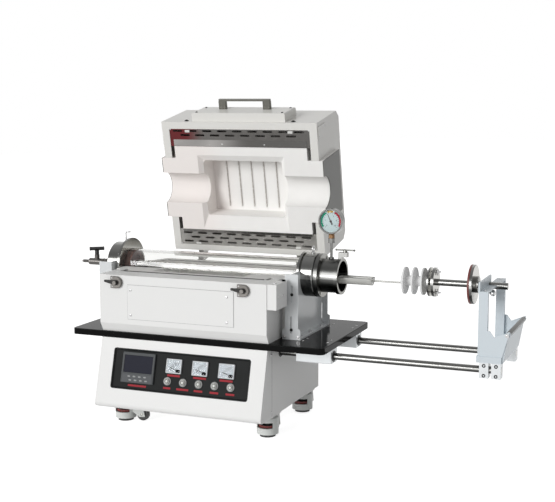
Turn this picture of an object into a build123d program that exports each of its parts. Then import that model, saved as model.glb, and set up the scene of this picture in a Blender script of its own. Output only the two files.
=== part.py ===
from build123d import *
import os
from math import atan2, cos, degrees, hypot, radians, sin

os.makedirs("parts", exist_ok=True)

# ---------------------------------------------------------------------------
# Driving dimensions, in millimetres. X runs along the tube, Y from the operator
# to the back, Z up from the floor. Y and X below are counted from the middle of
# the furnace, where the tube axis crosses the middle of the heated length.
# ---------------------------------------------------------------------------

# Fits
running_fit = 0.05            # radial play of a shaft in its bore
seat_gap = 0.3                # between pieces that are laid in place
door_gap = 0.5                # between the two halves of the furnace when shut

# Worktop and cabinet
cabinet_bottom = 70.0
cabinet_top = 277.5
cabinet_width = 549.0
cabinet_front_top = -219.0    # the fascia leans: its foot is further forward
cabinet_front_foot = -275.0
cabinet_back = 213.5
cabinet_sheet = 2.0
fascia_seam = -185.0
fascia_foot_radius = 14.0
worktop_left = -383.0
worktop_right = 445.0
worktop_depth = 432.0
worktop_thick = 19.0
worktop_corner = 15.0
worktop_top = cabinet_top + worktop_thick

# Control panel, measured down the slope of the fascia
panel_width = 454.0
panel_height = 123.0
panel_drop = 90.5             # slope distance from the fascia's top edge to the panel's middle
panel_recess = 5.0
panel_thick = 3.0
panel_corner = 8.0
controller_width = 110.0
controller_height = 92.0
controller_x = -139.0
controller_drop = 85.0
meter_width = 50.0
meter_height = 43.0
meter_drop = 69.5
meter_x = -20.3
meter_pitch = 86.1
button_count = 5
button_x = -38.5
button_pitch = 51.8
button_drop = 115.5
bezel_radius = 12.0
button_radius = 8.0
button_stand = 4.5
button_travel = 3.0

# Furnace body
housing_width = 550.0
housing_front = -226.5
housing_back = 226.5
housing_height = 177.0
housing_chamfer_rise = 27.5
housing_chamfer_run = 16.0
housing_sheet = 2.0
rim_side = 26.0               # flat rim beside the mouth of each half
lower_mouth_half = 150.0      # the lower half's mouth, from the tube axis
lid_mouth_front = -203.0
lid_mouth_back = 200.0
port_half_width = 103.5
port_depth = 160.0
split_z = worktop_top + housing_height

# Lid
lid_back = 220.0
lid_height = 213.0
lid_chamfer = 23.4
open_angle = 78.2
hinge_y = 256.3
hinge_drop = 24.2             # the hinge axis lies this far under the split
hinge_pin_radius = 6.0
hinge_knuckle_radius = 12.0
hinge_xs = (-180.0, 180.0)
hinge_width = 18.0
hinge_ear = 8.0
hinge_z = split_z - hinge_drop

# Insulation and heating coils
fibre_half_length = 236.0
fibre_half_width = 144.0
lip_end = 287.0               # the fibre ports stick out through the side walls
chamber_half_length = 141.0
chamber_half_width = 95.0
chamber_depth = 85.0
chamber_corner = 10.0
mouth_half_length = 155.0     # a bevelled ledge runs round the mouth of each chamber
mouth_front = -115.0
mouth_back = 138.0
mouth_bevel = 12.0
coil_band = 5.0
coil_thick = 3.0
coil_half_length = 84.0
coil_count = 5
coil_pitch = 45.2

# Tube line
tube_radius = 50.0
tube_wall = 4.0
tube_left = -331.0
tube_right = 344.0
groove_gap = 1.5
left_ring_radius = 84.0
left_ring_face = -290.0
left_ring_thick = 8.0
left_flange_radius = 70.0
left_flange_end = -343.0
right_flange_face = 304.7
right_flange_end = 352.0
right_collar_radius = 70.0
right_collar_thick = 7.0
neck_radius = 60.0            # the groove that sits in the right stand
neck_end = 316.3
flange_radius = 66.0
gasket_thick = 3.0
nozzle_plate = 13.0
nozzle_radius = 51.0
nozzle_wall = 4.5
mouth_radius = 55.0
mouth_thick = 12.0
mouth_x = 428.0

# Gas valve, gauge and mouth clamp
valve_x = -421.0
valve_radius = 11.0
nipple_radius = 7.0
hose_tail_radius = 4.0
hose_tail_end = -475.0
gauge_x = 392.0
gauge_z = 639.0
gauge_radius = 38.0
gauge_thick = 26.0
gauge_tube_radius = 4.0
pointer_length = 26.0
clamp_x = 436.0
clamp_screw_radius = 3.0

# Stands
stand_sheet = 4.0
right_web_x = 312.0
right_stand_half_depth = 127.0
right_stand_top = 491.5
right_plate_half = 20.7       # upright plates in front of and behind the web
right_foot_half = 28.5
right_foot_top = 326.0
left_web_x = -305.0
left_stand_half_depth = 104.0
left_stand_top = 492.0

# Loading carriage
rail_radius = 10.0
rail_y = 118.0
rail_z = 255.0
rail_start = 130.0
rail_end = 935.0
bearing_start = 335.0
bearing_length = 108.0
bearing_width = 54.0
bearing_height = 42.0
clamp_start = 875.0
clamp_length = 26.0
clamp_gap = 8.0
clamp_depth = 34.0
clamp_height = 44.0
frame_left = 866.0
upright_left = 869.0
upright_width = 26.0
upright_thick = 14.0
frame_half_depth = 135.0
cheek_face = 132.0            # the side cheeks' outer faces
cheek_sheet = 3.0
frame_base_right = 936.0
frame_base_top = 295.0
crossbar_sheet = 4.0
crossbar_top = 476.0
crossbar_leg_x = 867.0
crossbar_leg_top = 501.0
crossbar_leg_end = 26.0
handle_x = 952.0
handle_z = 359.0
handle_radius = 7.0
handle_sheet = 3.0
rod_radius = 10.0
rod_end = 926.0
door_radius = 57.5
seal_face = 818.0
seal_thick = 6.5
door_thick = 7.5
door_boss_radius = 24.0
door_boss_thick = 10.0
baffle_radius = 40.0
baffle_thick = 5.0
baffle_xs = (621.0, 649.0, 677.0)
baffle_tube_radius = 15.0
baffle_tube_start = 612.0
rod_flange_x = 697.0
rod_flange_thick = 20.0
rod_flange_radius = 43.0
boat_start = 419.0
boat_length = 104.0
boat_radius = 22.0
boat_wall = 2.0
boat_rod_radius = 3.0
boat_rod_drop = 8.0           # the boat's rod lies this far under the tube axis

# Casters
caster_x = 242.0
caster_front = -140.0
caster_back = 152.0
caster_plate = 4.0
caster_body_radius = 33.0
caster_wall = 6.0
window_bottom = 28.0          # windows in front and behind show the thumbwheel
window_top = 46.0
window_width = 50.0
caster_trail = 62.0
caster_cheek = 4.0
wheel_radius = 20.5
wheel_width = 14.0
wheel_lift = 2.0              # the wheels clear the floor while the feet are down
foot_radius = 24.0
foot_stem_radius = 5.0
thumbwheel_radius = 25.5
thumbwheel_thick = 6.0

# ---------------------------------------------------------------------------
# The frame's origin is the middle of the footprint of the whole object, on the
# floor. These reaches give where the middle of the furnace lies in that frame.
# ---------------------------------------------------------------------------
right_reach = handle_x + handle_radius
lid_turn = radians(open_angle)
lid_corner_reach = hinge_y - (lid_back - lid_chamfer)
back_reach = hinge_y - (hinge_y - lid_back + lid_chamfer) * cos(lid_turn)
back_reach = back_reach + (lid_height + hinge_drop) * sin(lid_turn)
cx = -(right_reach + hose_tail_end) / 2
cy = -(back_reach + cabinet_front_foot) / 2


def level(z):
    """Horizontal plane at height z, centred on the furnace: x is X, y is Y."""
    return Plane(origin=(cx, cy, z), x_dir=(1, 0, 0), z_dir=(0, 0, 1))


def facing(y):
    """Upright plane that faces the operator at depth y: x is X, y is Z."""
    return Plane(origin=(cx, cy + y, 0), x_dir=(1, 0, 0), z_dir=(0, -1, 0))


def across(x):
    """Upright plane across the tube at station x: x is Y, y is Z, normal +X."""
    return Plane(origin=(cx + x, cy, 0), x_dir=(0, 1, 0), z_dir=(1, 0, 0))


def bore_plane(x):
    """Plane across the tube at station x with its origin on the tube axis."""
    return Plane(origin=(cx + x, cy, split_z), x_dir=(0, 1, 0), z_dir=(1, 0, 0))


lid_swing = Location((0, cy + hinge_y, hinge_z)) * Location((0, 0, 0), (-open_angle, 0, 0))
lid_swing = lid_swing * Location((0, -cy - hinge_y, -hinge_z))


def lifted(plane):
    """The same plane carried on the lid, from the shut position to the open one."""
    return Plane(lid_swing * plane.location)


# The fascia's own plane: x is X, y points up the slope, the normal points out.
slope_run = cabinet_front_top - cabinet_front_foot
slope_rise = cabinet_top - cabinet_bottom
slope_length = hypot(slope_run, slope_rise)
slope_normal = (0, -slope_rise / slope_length, slope_run / slope_length)


def fascia(out):
    """Plane parallel to the fascia's face, out millimetres in front of it."""
    origin = Vector(cx, cy + cabinet_front_top, cabinet_top) + Vector(*slope_normal) * out
    return Plane(origin=origin, x_dir=(1, 0, 0), z_dir=slope_normal)


# ---------------------------------------------------------------------------
# Cabinet
# ---------------------------------------------------------------------------
shell_depth = cabinet_back - fascia_seam
shell_middle = (cabinet_back + fascia_seam) / 2
with BuildPart() as cabinet_shell:
    with BuildSketch(level(cabinet_bottom)):
        with Locations((0, shell_middle)):
            Rectangle(cabinet_width, shell_depth)
    extrude(amount=cabinet_top - cabinet_bottom)
    open_face = cabinet_shell.faces().sort_by(Axis.Y)[0]
    offset(amount=-cabinet_sheet, openings=open_face)
    with BuildSketch(across(cabinet_width / 2 - 2 * cabinet_sheet)):
        with Locations((-rail_y, rail_z), (rail_y, rail_z)):
            Circle(rail_radius + 4)
    extrude(amount=3 * cabinet_sheet, mode=Mode.SUBTRACT)
    # mounting plates of the casters
    with BuildSketch(level(cabinet_bottom)):
        for y in (caster_front, caster_back):
            with Locations((-caster_x, y), (caster_x, y)):
                RectangleRounded(60, 76, 6)
    extrude(amount=-caster_plate)
cabinet_shell.part.label = "cabinet_shell"
export_step(cabinet_shell.part, "parts/cabinet_shell.step")

with BuildPart() as cabinet_front:
    with BuildSketch(across(-cabinet_width / 2)):
        with BuildLine():
            Polyline(
                (cabinet_front_top, cabinet_top),
                (cabinet_front_foot, cabinet_bottom),
                (fascia_seam, cabinet_bottom),
                (fascia_seam, cabinet_top),
                close=True,
            )
        make_face()
    extrude(amount=cabinet_width)
    foot_edges = cabinet_front.edges().filter_by(Axis.X).group_by(Axis.Y)[0]
    fillet(foot_edges, radius=fascia_foot_radius)
    seam_face = cabinet_front.faces().sort_by(Axis.Y)[-1]
    offset(amount=-cabinet_sheet, openings=seam_face)
    with BuildSketch(fascia(1)):
        with Locations((0, -panel_drop)):
            RectangleRounded(panel_width + 2 * seat_gap, panel_height + 2 * seat_gap, panel_corner)
    extrude(amount=-3 * cabinet_sheet, mode=Mode.SUBTRACT)
cabinet_front.part.label = "cabinet_front"
export_step(cabinet_front.part, "parts/cabinet_front.step")

# The panel is a shallow tray: its face sits below the fascia, behind a sloped rim.
with BuildPart() as control_panel:
    with BuildSketch(fascia(-panel_recess - panel_thick)):
        with Locations((0, -panel_drop)):
            RectangleRounded(panel_width, panel_height, panel_corner)
    extrude(amount=panel_recess + panel_thick)
    with BuildSketch(fascia(-panel_recess)):
        with Locations((0, -panel_drop)):
            RectangleRounded(panel_width - 12, panel_height - 12, panel_corner / 2)
    extrude(amount=panel_recess, taper=-40, mode=Mode.SUBTRACT)
    with BuildSketch(fascia(-panel_recess)):
        with Locations((controller_x, -controller_drop)):
            Rectangle(controller_width - 8, controller_height - 8)
        for i in range(3):
            with Locations((meter_x + i * meter_pitch, -meter_drop)):
                Rectangle(meter_width - 8, meter_height - 8)
        for i in range(button_count):
            with Locations((button_x + i * button_pitch, -button_drop)):
                Circle(bezel_radius - 2)
    extrude(amount=-2 * panel_thick, mode=Mode.SUBTRACT)
control_panel.part.label = "control_panel"
export_step(control_panel.part, "parts/control_panel.step")

with BuildPart() as controller:
    with BuildSketch(fascia(-panel_recess)):
        with Locations((controller_x, -controller_drop)):
            RectangleRounded(controller_width, controller_height, 3)
    extrude(amount=panel_recess + 2)
    front_edges = controller.faces().sort_by(Axis.Y)[0].edges()
    chamfer(front_edges, length=1.2)
    with BuildSketch(fascia(2)):
        with Locations((controller_x, -controller_drop + 11)):
            Rectangle(controller_width - 13, 53)
    extrude(amount=-2, mode=Mode.SUBTRACT)
    with BuildSketch(fascia(-panel_recess)):
        with Locations((controller_x, -controller_drop)):
            Rectangle(controller_width - 8 - 2 * seat_gap, controller_height - 8 - 2 * seat_gap)
    extrude(amount=-60)
controller.part.label = "controller"
export_step(controller.part, "parts/controller.step")

with BuildPart() as panel_meters:
    for i in range(3):
        with BuildSketch(fascia(-panel_recess)):
            with Locations((meter_x + i * meter_pitch, -meter_drop)):
                RectangleRounded(meter_width, meter_height, 2)
        extrude(amount=panel_recess + 1)
        with BuildSketch(fascia(-panel_recess)):
            with Locations((meter_x + i * meter_pitch, -meter_drop)):
                Rectangle(meter_width - 8 - 2 * seat_gap, meter_height - 8 - 2 * seat_gap)
        extrude(amount=-35)
        with BuildSketch(fascia(1)):
            with Locations((meter_x + i * meter_pitch, -meter_drop)):
                Rectangle(meter_width - 6, meter_height - 6)
        extrude(amount=-1.5, mode=Mode.SUBTRACT)
panel_meters.part.label = "panel_meters"
export_step(panel_meters.part, "parts/panel_meters.step")

with BuildPart() as button_bezels:
    for i in range(button_count):
        with BuildSketch(fascia(-panel_recess)):
            with Locations((button_x + i * button_pitch, -button_drop)):
                Circle(bezel_radius)
        extrude(amount=2.5)
        with BuildSketch(fascia(-panel_recess)):
            with Locations((button_x + i * button_pitch, -button_drop)):
                Circle(bezel_radius - 2 - seat_gap)
        extrude(amount=-24)
        with BuildSketch(fascia(-panel_recess + 2.5)):
            with Locations((button_x + i * button_pitch, -button_drop)):
                Circle(button_radius + 2 * running_fit)
        extrude(amount=-24, mode=Mode.SUBTRACT)
button_bezels.part.label = "button_bezels"
export_step(button_bezels.part, "parts/button_bezels.step")

for i in range(button_count):
    with BuildPart() as push_button:
        with BuildSketch(fascia(-panel_recess + 2.5 + button_stand)):
            with Locations((button_x + i * button_pitch, -button_drop)):
                Circle(button_radius)
        extrude(amount=-button_stand - 18)
        cap_edges = push_button.faces().sort_by(Axis.Y)[0].edges()
        fillet(cap_edges, radius=1.2)
    push_button.part.label = f"push_button_{i + 1}"
    export_step(push_button.part, f"parts/push_button_{i + 1}.step")

with BuildPart() as worktop:
    with BuildSketch(level(cabinet_top)):
        with Locations(((worktop_left + worktop_right) / 2, 0)):
            RectangleRounded(worktop_right - worktop_left, worktop_depth, worktop_corner)
    extrude(amount=worktop_thick)
    top_edges = worktop.faces().sort_by(Axis.Z)[-1].edges()
    fillet(top_edges, radius=2)
worktop.part.label = "worktop"
export_step(worktop.part, "parts/worktop.step")

# ---------------------------------------------------------------------------
# Furnace body, lower half
# ---------------------------------------------------------------------------
housing_top = split_z - door_gap
lid_bottom = split_z + door_gap
lid_top = split_z + lid_height
side_wall = housing_width / 2
with BuildPart() as housing_shell:
    with BuildSketch(across(-side_wall)):
        with BuildLine():
            Polyline(
                (housing_front + housing_chamfer_run, worktop_top),
                (housing_front, worktop_top + housing_chamfer_rise),
                (housing_front, housing_top),
                (housing_back, housing_top),
                (housing_back, worktop_top + housing_chamfer_rise),
                (housing_back - housing_chamfer_run, worktop_top),
                close=True,
            )
        make_face()
    extrude(amount=housing_width)
    offset(amount=-housing_sheet, mode=Mode.SUBTRACT)
    with BuildSketch(level(housing_top)):
        Rectangle(housing_width - 2 * rim_side, 2 * lower_mouth_half)
    extrude(amount=-2 * housing_sheet, mode=Mode.SUBTRACT)
    with BuildSketch(across(-side_wall)):
        with Locations((0, housing_top - port_depth / 2)):
            Rectangle(2 * port_half_width, port_depth)
    extrude(amount=housing_width, mode=Mode.SUBTRACT)
    # access plate on the front
    with BuildSketch(facing(housing_front)):
        with Locations((-4, 393)):
            Rectangle(350, 104)
    extrude(amount=1.5)
    # terminal box on the right-hand side
    with BuildSketch(across(side_wall)):
        with Locations((-183, housing_top - 37)):
            Rectangle(82, 74)
    extrude(amount=29.5)
housing_shell.part.label = "housing_shell"
export_step(housing_shell.part, "parts/housing_shell.step")


def as_built(plane):
    """Lower-half planes stay where they are drawn."""
    return plane


def insulation_block(carry, sense, face_z, depth):
    """One half of the fibre lining: sense is -1 below the split and +1 above it."""
    with BuildPart() as block:
        with BuildSketch(carry(level(face_z))):
            Rectangle(2 * fibre_half_length, 2 * fibre_half_width)
        extrude(amount=sense * depth)
        with BuildSketch(carry(level(face_z))):
            Rectangle(2 * lip_end, 2 * (port_half_width - seat_gap))
        extrude(amount=sense * (port_depth - seat_gap))
        with BuildSketch(carry(level(face_z))):
            RectangleRounded(2 * chamber_half_length, 2 * chamber_half_width, chamber_corner)
        extrude(amount=sense * chamber_depth, mode=Mode.SUBTRACT)
        with BuildSketch(carry(level(face_z))):
            with Locations((0, (mouth_front + mouth_back) / 2)):
                Rectangle(2 * mouth_half_length, mouth_back - mouth_front)
        with BuildSketch(carry(level(face_z + sense * mouth_bevel))):
            Rectangle(2 * chamber_half_length, 2 * chamber_half_width)
        loft(mode=Mode.SUBTRACT)
        with BuildSketch(carry(bore_plane(-lip_end - 1))):
            Circle(tube_radius + groove_gap)
        extrude(amount=2 * lip_end + 2, mode=Mode.SUBTRACT)
    return block


def heating_coils(carry, sense, face_z):
    """Five straight heating wires laid against the far wall of the chamber."""
    wall = face_z + sense * (chamber_depth - seat_gap)
    with BuildPart() as coils:
        with BuildSketch(carry(level(wall))):
            for i in range(coil_count):
                with Locations(((i - (coil_count - 1) / 2) * coil_pitch, 0)):
                    SlotOverall(2 * coil_half_length, coil_band, rotation=90)
        extrude(amount=-sense * coil_thick)
    return coils


lower_insulation = insulation_block(as_built, -1, housing_top, housing_height - door_gap - housing_sheet)
lower_insulation.part.label = "lower_insulation"
export_step(lower_insulation.part, "parts/lower_insulation.step")

lower_coils = heating_coils(as_built, -1, housing_top)
lower_coils.part.label = "lower_coils"
export_step(lower_coils.part, "parts/lower_coils.step")

# Latches on the front of the lower half
latch_xs = (-214.0, 204.5)
latch_z = 451.5
with BuildPart() as latch_bases:
    for x in latch_xs:
        with BuildSketch(facing(housing_front)):
            with Locations((x, latch_z)):
                Circle(18)
            with Locations((x - 9.5, latch_z)):
                Rectangle(19, 36)
        extrude(amount=9)
    outer_edges = latch_bases.faces().filter_by(Axis.Y).sort_by(Axis.Y)[:2].edges()
    chamfer(outer_edges, length=1.5)
    for x in latch_xs:
        with BuildSketch(facing(housing_front)):
            with Locations((x, latch_z)):
                Circle(4)
        extrude(amount=17)
latch_bases.part.label = "latch_bases"
export_step(latch_bases.part, "parts/latch_bases.step")

for name, x in (("latch_lever_left", latch_xs[0]), ("latch_lever_right", latch_xs[1])):
    with BuildPart() as latch_lever:
        with BuildSketch(facing(housing_front - 9.5)):
            with Locations((x, latch_z)):
                Circle(8)
            with BuildLine():
                Polyline(
                    (x, latch_z + 7),
                    (x - 36, latch_z + 7),
                    (x - 36, latch_z + 1),
                    (x, latch_z - 7),
                    close=True,
                )
            make_face()
            with Locations((x, latch_z)):
                Circle(4 + running_fit, mode=Mode.SUBTRACT)
        extrude(amount=6)
    latch_lever.part.label = name
    export_step(latch_lever.part, f"parts/{name}.step")

# Hinge brackets: two ears and a pin at each side, on the back of the lower half
with BuildPart() as hinge_brackets:
    for x in hinge_xs:
        for ear in (-1, 1):
            inner = x + ear * (hinge_width / 2 + seat_gap)
            with BuildSketch(across(inner)):
                with BuildLine():
                    Polyline(
                        (housing_back, hinge_z - 34),
                        (housing_back, hinge_z + 12),
                        (hinge_y, hinge_z + 10),
                        (hinge_y, hinge_z - 10),
                        close=True,
                    )
                make_face()
                with Locations((hinge_y, hinge_z)):
                    Circle(10)
            extrude(amount=ear * hinge_ear)
        with BuildSketch(facing(housing_back)):
            with Locations((x, hinge_z - 11)):
                Rectangle(hinge_width + 2 * hinge_ear + 24, 46)
        extrude(amount=-3)
        with BuildSketch(across(x - hinge_width / 2 - hinge_ear - 3)):
            with Locations((hinge_y, hinge_z)):
                Circle(hinge_pin_radius)
        extrude(amount=hinge_width + 2 * hinge_ear + 6)
hinge_brackets.part.label = "hinge_brackets"
export_step(hinge_brackets.part, "parts/hinge_brackets.step")

# ---------------------------------------------------------------------------
# Lid, drawn shut and built open
# ---------------------------------------------------------------------------
with BuildPart() as lid_shell:
    with BuildSketch(lifted(across(-side_wall))):
        with BuildLine():
            Polyline(
                (housing_front, lid_bottom),
                (housing_front, lid_top - lid_chamfer),
                (housing_front + lid_chamfer, lid_top),
                (lid_back - lid_chamfer, lid_top),
                (lid_back, lid_top - lid_chamfer),
                (lid_back, lid_bottom),
                close=True,
            )
        make_face()
    extrude(amount=housing_width)
    offset(amount=-housing_sheet, mode=Mode.SUBTRACT)
    with BuildSketch(lifted(level(lid_bottom))):
        with Locations((0, (lid_mouth_front + lid_mouth_back) / 2)):
            Rectangle(housing_width - 2 * rim_side, lid_mouth_back - lid_mouth_front)
    extrude(amount=2 * housing_sheet, mode=Mode.SUBTRACT)
    with BuildSketch(lifted(across(-side_wall))):
        with Locations((0, lid_bottom + port_depth / 2)):
            Rectangle(2 * port_half_width, port_depth)
    extrude(amount=housing_width, mode=Mode.SUBTRACT)
lid_shell.part.label = "lid_shell"
export_step(lid_shell.part, "parts/lid_shell.step")

lid_insulation = insulation_block(lifted, 1, lid_bottom, lid_height - door_gap - housing_sheet)
lid_insulation.part.label = "lid_insulation"
export_step(lid_insulation.part, "parts/lid_insulation.step")

lid_coils = heating_coils(lifted, 1, lid_bottom)
lid_coils.part.label = "lid_coils"
export_step(lid_coils.part, "parts/lid_coils.step")

with BuildPart() as lid_vents:
    with BuildSketch(lifted(level(lid_bottom + housing_sheet))):
        for start, end in ((lid_mouth_front, -fibre_half_width), (fibre_half_width, lid_mouth_back)):
            reach = end - start + 5 - seat_gap
            shift = -5 if start < 0 else 5
            with Locations((0, (start + end + shift) / 2)):
                Rectangle(2 * fibre_half_length + 36, reach)
    extrude(amount=1.5)
lid_vents.part.label = "lid_vents"
export_step(lid_vents.part, "parts/lid_vents.step")

box_front = housing_front - 28
with BuildPart() as lid_box:
    with BuildSketch(lifted(facing(housing_front))):
        with Locations((0, split_z + 60)):
            Rectangle(330, 100)
    extrude(amount=28)
    front_normal = lifted(facing(box_front)).z_dir
    outline = lid_box.faces().sort_by(Axis(lifted(facing(0)).origin, front_normal))[-1].edges()
    chamfer(outline, length=3)
lid_box.part.label = "lid_box"
export_step(lid_box.part, "parts/lid_box.step")

with BuildPart() as lid_handle:
    with BuildSketch(lifted(facing(box_front - 27))):
        with Locations((0, split_z + 76)):
            SlotOverall(186, 13)
    extrude(amount=6.5)
    with BuildSketch(lifted(facing(box_front))):
        with Locations((-79, split_z + 76), (79, split_z + 76)):
            RectangleRounded(28, 13, 4)
    extrude(amount=27)
lid_handle.part.label = "lid_handle"
export_step(lid_handle.part, "parts/lid_handle.step")

with BuildPart() as hinge_arms:
    for x in hinge_xs:
        with BuildSketch(lifted(across(x - hinge_width / 2))):
            with BuildLine():
                Polyline(
                    (lid_back, split_z + 6),
                    (lid_back, split_z + 62),
                    (lid_back + 8, split_z + 62),
                    (hinge_y + 9, hinge_z + 8),
                    (hinge_y - 10, hinge_z + 6),
                    (hinge_y - 20, split_z + 6),
                    close=True,
                )
            make_face()
            with Locations((hinge_y, hinge_z)):
                Circle(hinge_knuckle_radius)
                Circle(hinge_pin_radius + running_fit, mode=Mode.SUBTRACT)
        extrude(amount=hinge_width)
hinge_arms.part.label = "hinge_arms"
export_step(hinge_arms.part, "parts/hinge_arms.step")

# ---------------------------------------------------------------------------
# Tube line
# ---------------------------------------------------------------------------
with BuildPart() as process_tube:
    with BuildSketch(bore_plane(tube_left)):
        Circle(tube_radius)
        Circle(tube_radius - tube_wall, mode=Mode.SUBTRACT)
    extrude(amount=tube_right - tube_left)
process_tube.part.label = "process_tube"
export_step(process_tube.part, "parts/process_tube.step")

tube_socket = tube_radius + seat_gap
left_end_plate = tube_left - seat_gap
with BuildPart() as left_flange:
    with BuildSketch(bore_plane(left_ring_face)):
        Circle(left_ring_radius)
    extrude(amount=-left_ring_thick)
    with BuildSketch(bore_plane(left_ring_face)):
        Circle(left_flange_radius)
    extrude(amount=left_flange_end - left_ring_face)
    rim_edges = left_flange.faces().sort_by(Axis.X)[0].edges()
    chamfer(rim_edges, length=2)
    with BuildSketch(bore_plane(left_ring_face)):
        Circle(tube_socket)
    extrude(amount=left_end_plate - left_ring_face, mode=Mode.SUBTRACT)
    with BuildSketch(bore_plane(left_flange_end)):
        Circle(3)
    extrude(amount=20, mode=Mode.SUBTRACT)
left_flange.part.label = "left_flange"
export_step(left_flange.part, "parts/left_flange.step")

# The flange body has a groove whose floor rests in the stand's notch.
with BuildPart() as right_flange:
    with BuildSketch(bore_plane(right_flange_face)):
        Circle(right_collar_radius)
    extrude(amount=right_collar_thick)
    with BuildSketch(bore_plane(right_flange_face)):
        Circle(neck_radius)
    extrude(amount=neck_end - right_flange_face)
    with BuildSketch(bore_plane(neck_end)):
        Circle(flange_radius)
    extrude(amount=right_flange_end - neck_end)
    rim_edges = right_flange.faces().sort_by(Axis.X)[-1].edges()
    chamfer(rim_edges, length=1.5)
    with BuildSketch(bore_plane(right_flange_face)):
        Circle(tube_socket)
    extrude(amount=tube_right + seat_gap - right_flange_face, mode=Mode.SUBTRACT)
    with BuildSketch(bore_plane(right_flange_end)):
        Circle(tube_radius - tube_wall)
    extrude(amount=-20, mode=Mode.SUBTRACT)
right_flange.part.label = "right_flange"
export_step(right_flange.part, "parts/right_flange.step")

gasket_end = right_flange_end + gasket_thick
with BuildPart() as flange_gasket:
    with BuildSketch(bore_plane(right_flange_end)):
        Circle(flange_radius - 4)
        Circle(tube_radius - tube_wall, mode=Mode.SUBTRACT)
    extrude(amount=gasket_thick)
flange_gasket.part.label = "flange_gasket"
export_step(flange_gasket.part, "parts/flange_gasket.step")

# Nozzle with its mouth rim and the clamp block that stands on the rim
clamp_floor = split_z + mouth_radius + 4
with BuildPart() as nozzle:
    with BuildSketch(bore_plane(gasket_end)):
        Circle(flange_radius)
    extrude(amount=nozzle_plate)
    plate_edges = nozzle.faces().sort_by(Axis.X)[0].edges()
    chamfer(plate_edges, length=1.5)
    with BuildSketch(bore_plane(gasket_end)):
        Circle(nozzle_radius)
    extrude(amount=mouth_x - gasket_end)
    with BuildSketch(bore_plane(mouth_x)):
        Circle(mouth_radius)
    extrude(amount=-mouth_thick)
    with BuildSketch(level(split_z)):
        with Locations((mouth_x - mouth_thick / 2, 0)):
            Rectangle(mouth_thick, 18)
    extrude(amount=mouth_radius + 18)
    with BuildSketch(level(clamp_floor)):
        with Locations(((mouth_x - mouth_thick + clamp_x + 8) / 2, 0)):
            Rectangle(clamp_x + 8 - mouth_x + mouth_thick, 18)
    extrude(amount=14)
    with BuildSketch(bore_plane(gasket_end)):
        Circle(nozzle_radius - nozzle_wall)
    extrude(amount=mouth_x - gasket_end, mode=Mode.SUBTRACT)
    with BuildSketch(level(clamp_floor)):
        with Locations((clamp_x, 0)):
            Circle(clamp_screw_radius + running_fit)
    extrude(amount=14, mode=Mode.SUBTRACT)
    with BuildSketch(level(split_z)):
        with Locations((gauge_x, 0)):
            Circle(gauge_tube_radius)
    extrude(amount=60, mode=Mode.SUBTRACT)
nozzle.part.label = "nozzle"
export_step(nozzle.part, "parts/nozzle.step")

with BuildPart() as clamp_screw:
    with BuildSketch(level(clamp_floor + 0.5)):
        with Locations((clamp_x, 0)):
            Circle(clamp_screw_radius)
    extrude(amount=20)
    with BuildSketch(level(clamp_floor + 14 + seat_gap)):
        with Locations((clamp_x, 0)):
            Circle(7)
    extrude(amount=8, taper=15)
    with BuildSketch(across(clamp_x - 28.5)):
        with Locations((0, clamp_floor + 21)):
            Circle(2.5)
    extrude(amount=57)
clamp_screw.part.label = "clamp_screw"
export_step(clamp_screw.part, "parts/clamp_screw.step")

# Gas valve on the left flange
with BuildPart() as gas_valve:
    with BuildSketch(bore_plane(left_flange_end)):
        Circle(nipple_radius)
    extrude(amount=valve_x - left_flange_end)
    with BuildSketch(bore_plane(left_flange_end - 30)):
        RegularPolygon(radius=nipple_radius + 4, side_count=6)
    extrude(amount=-20)
    with BuildSketch(bore_plane(valve_x + 26)):
        Circle(valve_radius)
    extrude(amount=-52)
    with BuildSketch(bore_plane(valve_x - 26)):
        Circle(hose_tail_radius)
    extrude(amount=hose_tail_end - valve_x + 26)
    with BuildSketch(level(split_z)):
        with Locations((valve_x, 0)):
            Circle(8)
    extrude(amount=valve_radius + 12)
    with BuildSketch(bore_plane(left_flange_end)):
        Circle(2)
    extrude(amount=hose_tail_end - left_flange_end, mode=Mode.SUBTRACT)
    with BuildSketch(level(split_z + 4)):
        with Locations((valve_x, 0)):
            Circle(3 + running_fit)
    extrude(amount=valve_radius + 12, mode=Mode.SUBTRACT)
gas_valve.part.label = "gas_valve"
export_step(gas_valve.part, "parts/gas_valve.step")

with BuildPart() as valve_handle:
    with BuildSketch(level(split_z + 5)):
        with Locations((valve_x, 0)):
            Circle(3)
    extrude(amount=40)
    with BuildSketch(level(split_z + valve_radius + 12 + seat_gap)):
        with Locations((valve_x, 0)):
            Circle(7)
    extrude(amount=14)
    with BuildSketch(Plane(origin=(cx + valve_x, cy, split_z + 43), x_dir=(-0.6, 0.8, 0), z_dir=(0.8, 0.6, 0))):
        Circle(6)
    extrude(amount=22, both=True)
valve_handle.part.label = "valve_handle"
export_step(valve_handle.part, "parts/valve_handle.step")

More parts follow.
